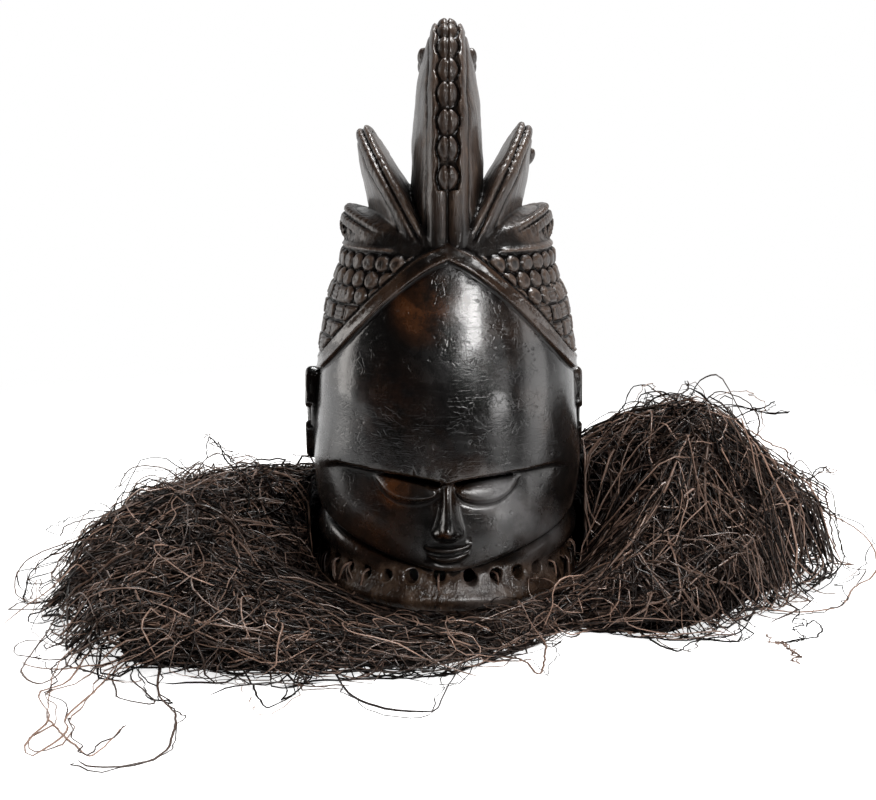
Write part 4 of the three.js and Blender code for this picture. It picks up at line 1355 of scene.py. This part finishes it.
def raffiaMaterial(name, dark):
    material, tree = newMaterial(name)
    place = put(tree, "ShaderNodeTexCoord").outputs["Object"]
    shade = attribute(tree, "shade")
    cloud = noise(tree, place, 90, 4, 0.6)
    # shade holds each fibre's random tone, darkened by painted shade for deep and front fibres
    light = maths(tree, "POWER", shade, 3.2)
    base = mixed(tree, light, fibreColours["dark"], fibreColours["light"])
    rusty = maths(tree, "MULTIPLY", ranged(tree, cloud, 0.52, 0.72, 0, 0.7), shade)
    base = mixed(tree, rusty, base, fibreColours["rust"])
    # the core's near-black colour and lack of shine are painted shade
    if dark:
        share = ranged(tree, cloud, 0.3, 0.7)
        base = mixed(tree, share, fibreColours["inside"], fibreColours["insideLight"])
    fibres = noise(tree, stretched(tree, place, (600, 120, 120), (0.4, 0.2, 0.9)), 1.0, 3, 0.6)
    bump = put(tree, "ShaderNodeBump", {"Height": fibres, "Strength": 0.5, "Distance": 0.0004})
    surface = put(tree, "ShaderNodeBsdfPrincipled", {
        "Base Color": base,
        "Roughness": maths(tree, "MULTIPLY_ADD", cloud, 0.25, 0.24),
        "Normal": bump.outputs[0],
        "Specular IOR Level": 0.0 if dark else maths(tree, "MULTIPLY_ADD", shade, 0.8, 0.04),
    })
    put(tree, "ShaderNodeOutputMaterial", {"Surface": surface.outputs[0]})
    return material


# Room: a white floor that ends just out of the picture, and a backdrop that is bright low down
room = {
    "floorFront": 0.47,
    "floorGlow": 0.16,
    "floorSeen": 0.66,
    # distances where the painted shadow round the mask ends
    "paintedShadowEnds": (0.11, 0.18),
    "whiteEnds": (0.42, 0.95),
    "front": 0.01,
    "behind": 0.8,
    "above": 0.05,
}


def buildFloor():
    material, tree = newMaterial("pale_floor")
    surface = put(tree, "ShaderNodeBsdfPrincipled", {"Base Color": colour(0.9, 0.9, 0.9), "Roughness": 0.9})
    surface.inputs["Specular IOR Level"].default_value = 0.0
    surface.inputs["Emission Color"].default_value = colour(1, 1, 1)
    place = put(tree, "ShaderNodeTexCoord").outputs["Object"]
    apart = farFrom(tree, place, (axisX, axisY, 0))
    seen = put(tree, "ShaderNodeLightPath").outputs["Is Camera Ray"]
    shine = maths(tree, "MULTIPLY_ADD", seen, room["floorSeen"], room["floorGlow"])
    # the floor's glow fades out near the mask's axis: a painted shadow under and inside the mask
    shine = maths(tree, "MULTIPLY", shine, ranged(tree, apart, *room["paintedShadowEnds"]))
    tree.links.new(shine, surface.inputs["Emission Strength"])
    far = ranged(tree, apart, *room["whiteEnds"])
    glow = put(tree, "ShaderNodeEmission", {"Color": colour(1, 1, 1), "Strength": 1.0})
    mix = put(tree, "ShaderNodeMixShader", {0: far, 1: surface.outputs[0], 2: glow.outputs[0]})
    put(tree, "ShaderNodeOutputMaterial", {"Surface": mix.outputs[0]})
    mesh = bpy.data.meshes.new("floor")
    front = axisY - room["floorFront"]
    mesh.from_pydata([(-5, front, 0), (5, front, 0), (5, 14, 0), (-5, 14, 0)], [], [(0, 1, 2, 3)])
    mesh.materials.append(material)
    floor = newObject("floor", mesh)


def buildBackdrop():
    world = bpy.data.worlds.new("studio")
    world.use_nodes = True
    tree = world.node_tree
    tree.nodes.clear()
    direction = put(tree, "ShaderNodeTexCoord").outputs["Generated"]
    split = put(tree, "ShaderNodeSeparateXYZ", {0: direction})
    behind = ranged(tree, split.outputs[1], -0.1, 0.7, room["front"], room["behind"])
    above = ranged(tree, split.outputs[2], 0.1, 0.75, 1.0, room["above"])
    seen = put(tree, "ShaderNodeLightPath").outputs["Is Camera Ray"]
    strength = maths(tree, "MAXIMUM", maths(tree, "MULTIPLY", behind, above), seen)
    back = put(tree, "ShaderNodeBackground", {"Color": colour(1, 1, 1), "Strength": strength})
    put(tree, "ShaderNodeOutputWorld", {"Surface": back.outputs[0]})
    bpy.context.scene.world = world


# Lamps: place from the mask's axis, size and power; all aim at the middle of the mask
lampAim = 0.17
lamps = {
    "key": {"at": (0.38, -1.16, 0.82), "size": (0.34, 0.34), "power": 8.5, "colour": (1, 0.99, 0.98)},
    "cheek": {"at": (0.84, -1.02, 0.22), "size": (0.3, 0.3), "power": 2.2, "colour": (1, 0.99, 0.98)},
    "right": {"at": (1.2, -0.2, 0.34), "size": (0.6, 0.8), "power": 3.6, "colour": (1, 0.98, 0.97)},
    "left": {"at": (-1.3, 0.26, 0.42), "size": (0.5, 0.8), "power": 4.2, "colour": (1, 0.96, 0.92)},
    "top": {"at": (0.25, 0.35, 1.6), "size": (0.5, 0.5), "power": 30, "colour": (1, 1, 1)},
}


def buildLamps():
    for name, lamp in lamps.items():
        data = bpy.data.lights.new("lamp_" + name, "AREA")
        data.shape = "RECTANGLE"
        data.size, data.size_y = lamp["size"]
        data.energy = lamp["power"]
        data.color = lamp["colour"]
        light = newObject("lamp_" + name, data)
        light.location = Vector((axisX, axisY, 0)) + Vector(lamp["at"])
        aim = Vector((axisX, axisY, lampAim)) - light.location
        light.rotation_euler = aim.to_track_quat("-Z", "Y").to_euler()


view = {"lens": 72.53, "aside": 0.007, "distance": 1.35, "height": 0.4, "down": 11.03}


def buildCamera():
    data = bpy.data.cameras.new("camera")
    data.lens = view["lens"]
    data.sensor_width = 36
    data.clip_start = 0.01
    data.clip_end = 30
    camera = newObject("camera", data)
    camera.location = (axisX - view["aside"], axisY - view["distance"], view["height"])
    camera.rotation_euler = (math.pi / 2 - view["down"] * degree, 0, 0)
    bpy.context.scene.camera = camera


woodSurface = woodMaterial()
fibreSurface = raffiaMaterial("raffia_strands", False)
shadeCoreSurface = raffiaMaterial("raffia_painted_shade", True)
buildMask(woodSurface)
print("mask done")
buildRaffia(fibreSurface, shadeCoreSurface)
print("raffia done")
buildFloor()
buildBackdrop()
buildLamps()
buildCamera()
bpy.context.scene.view_settings.view_transform = "Standard"
print("room done")
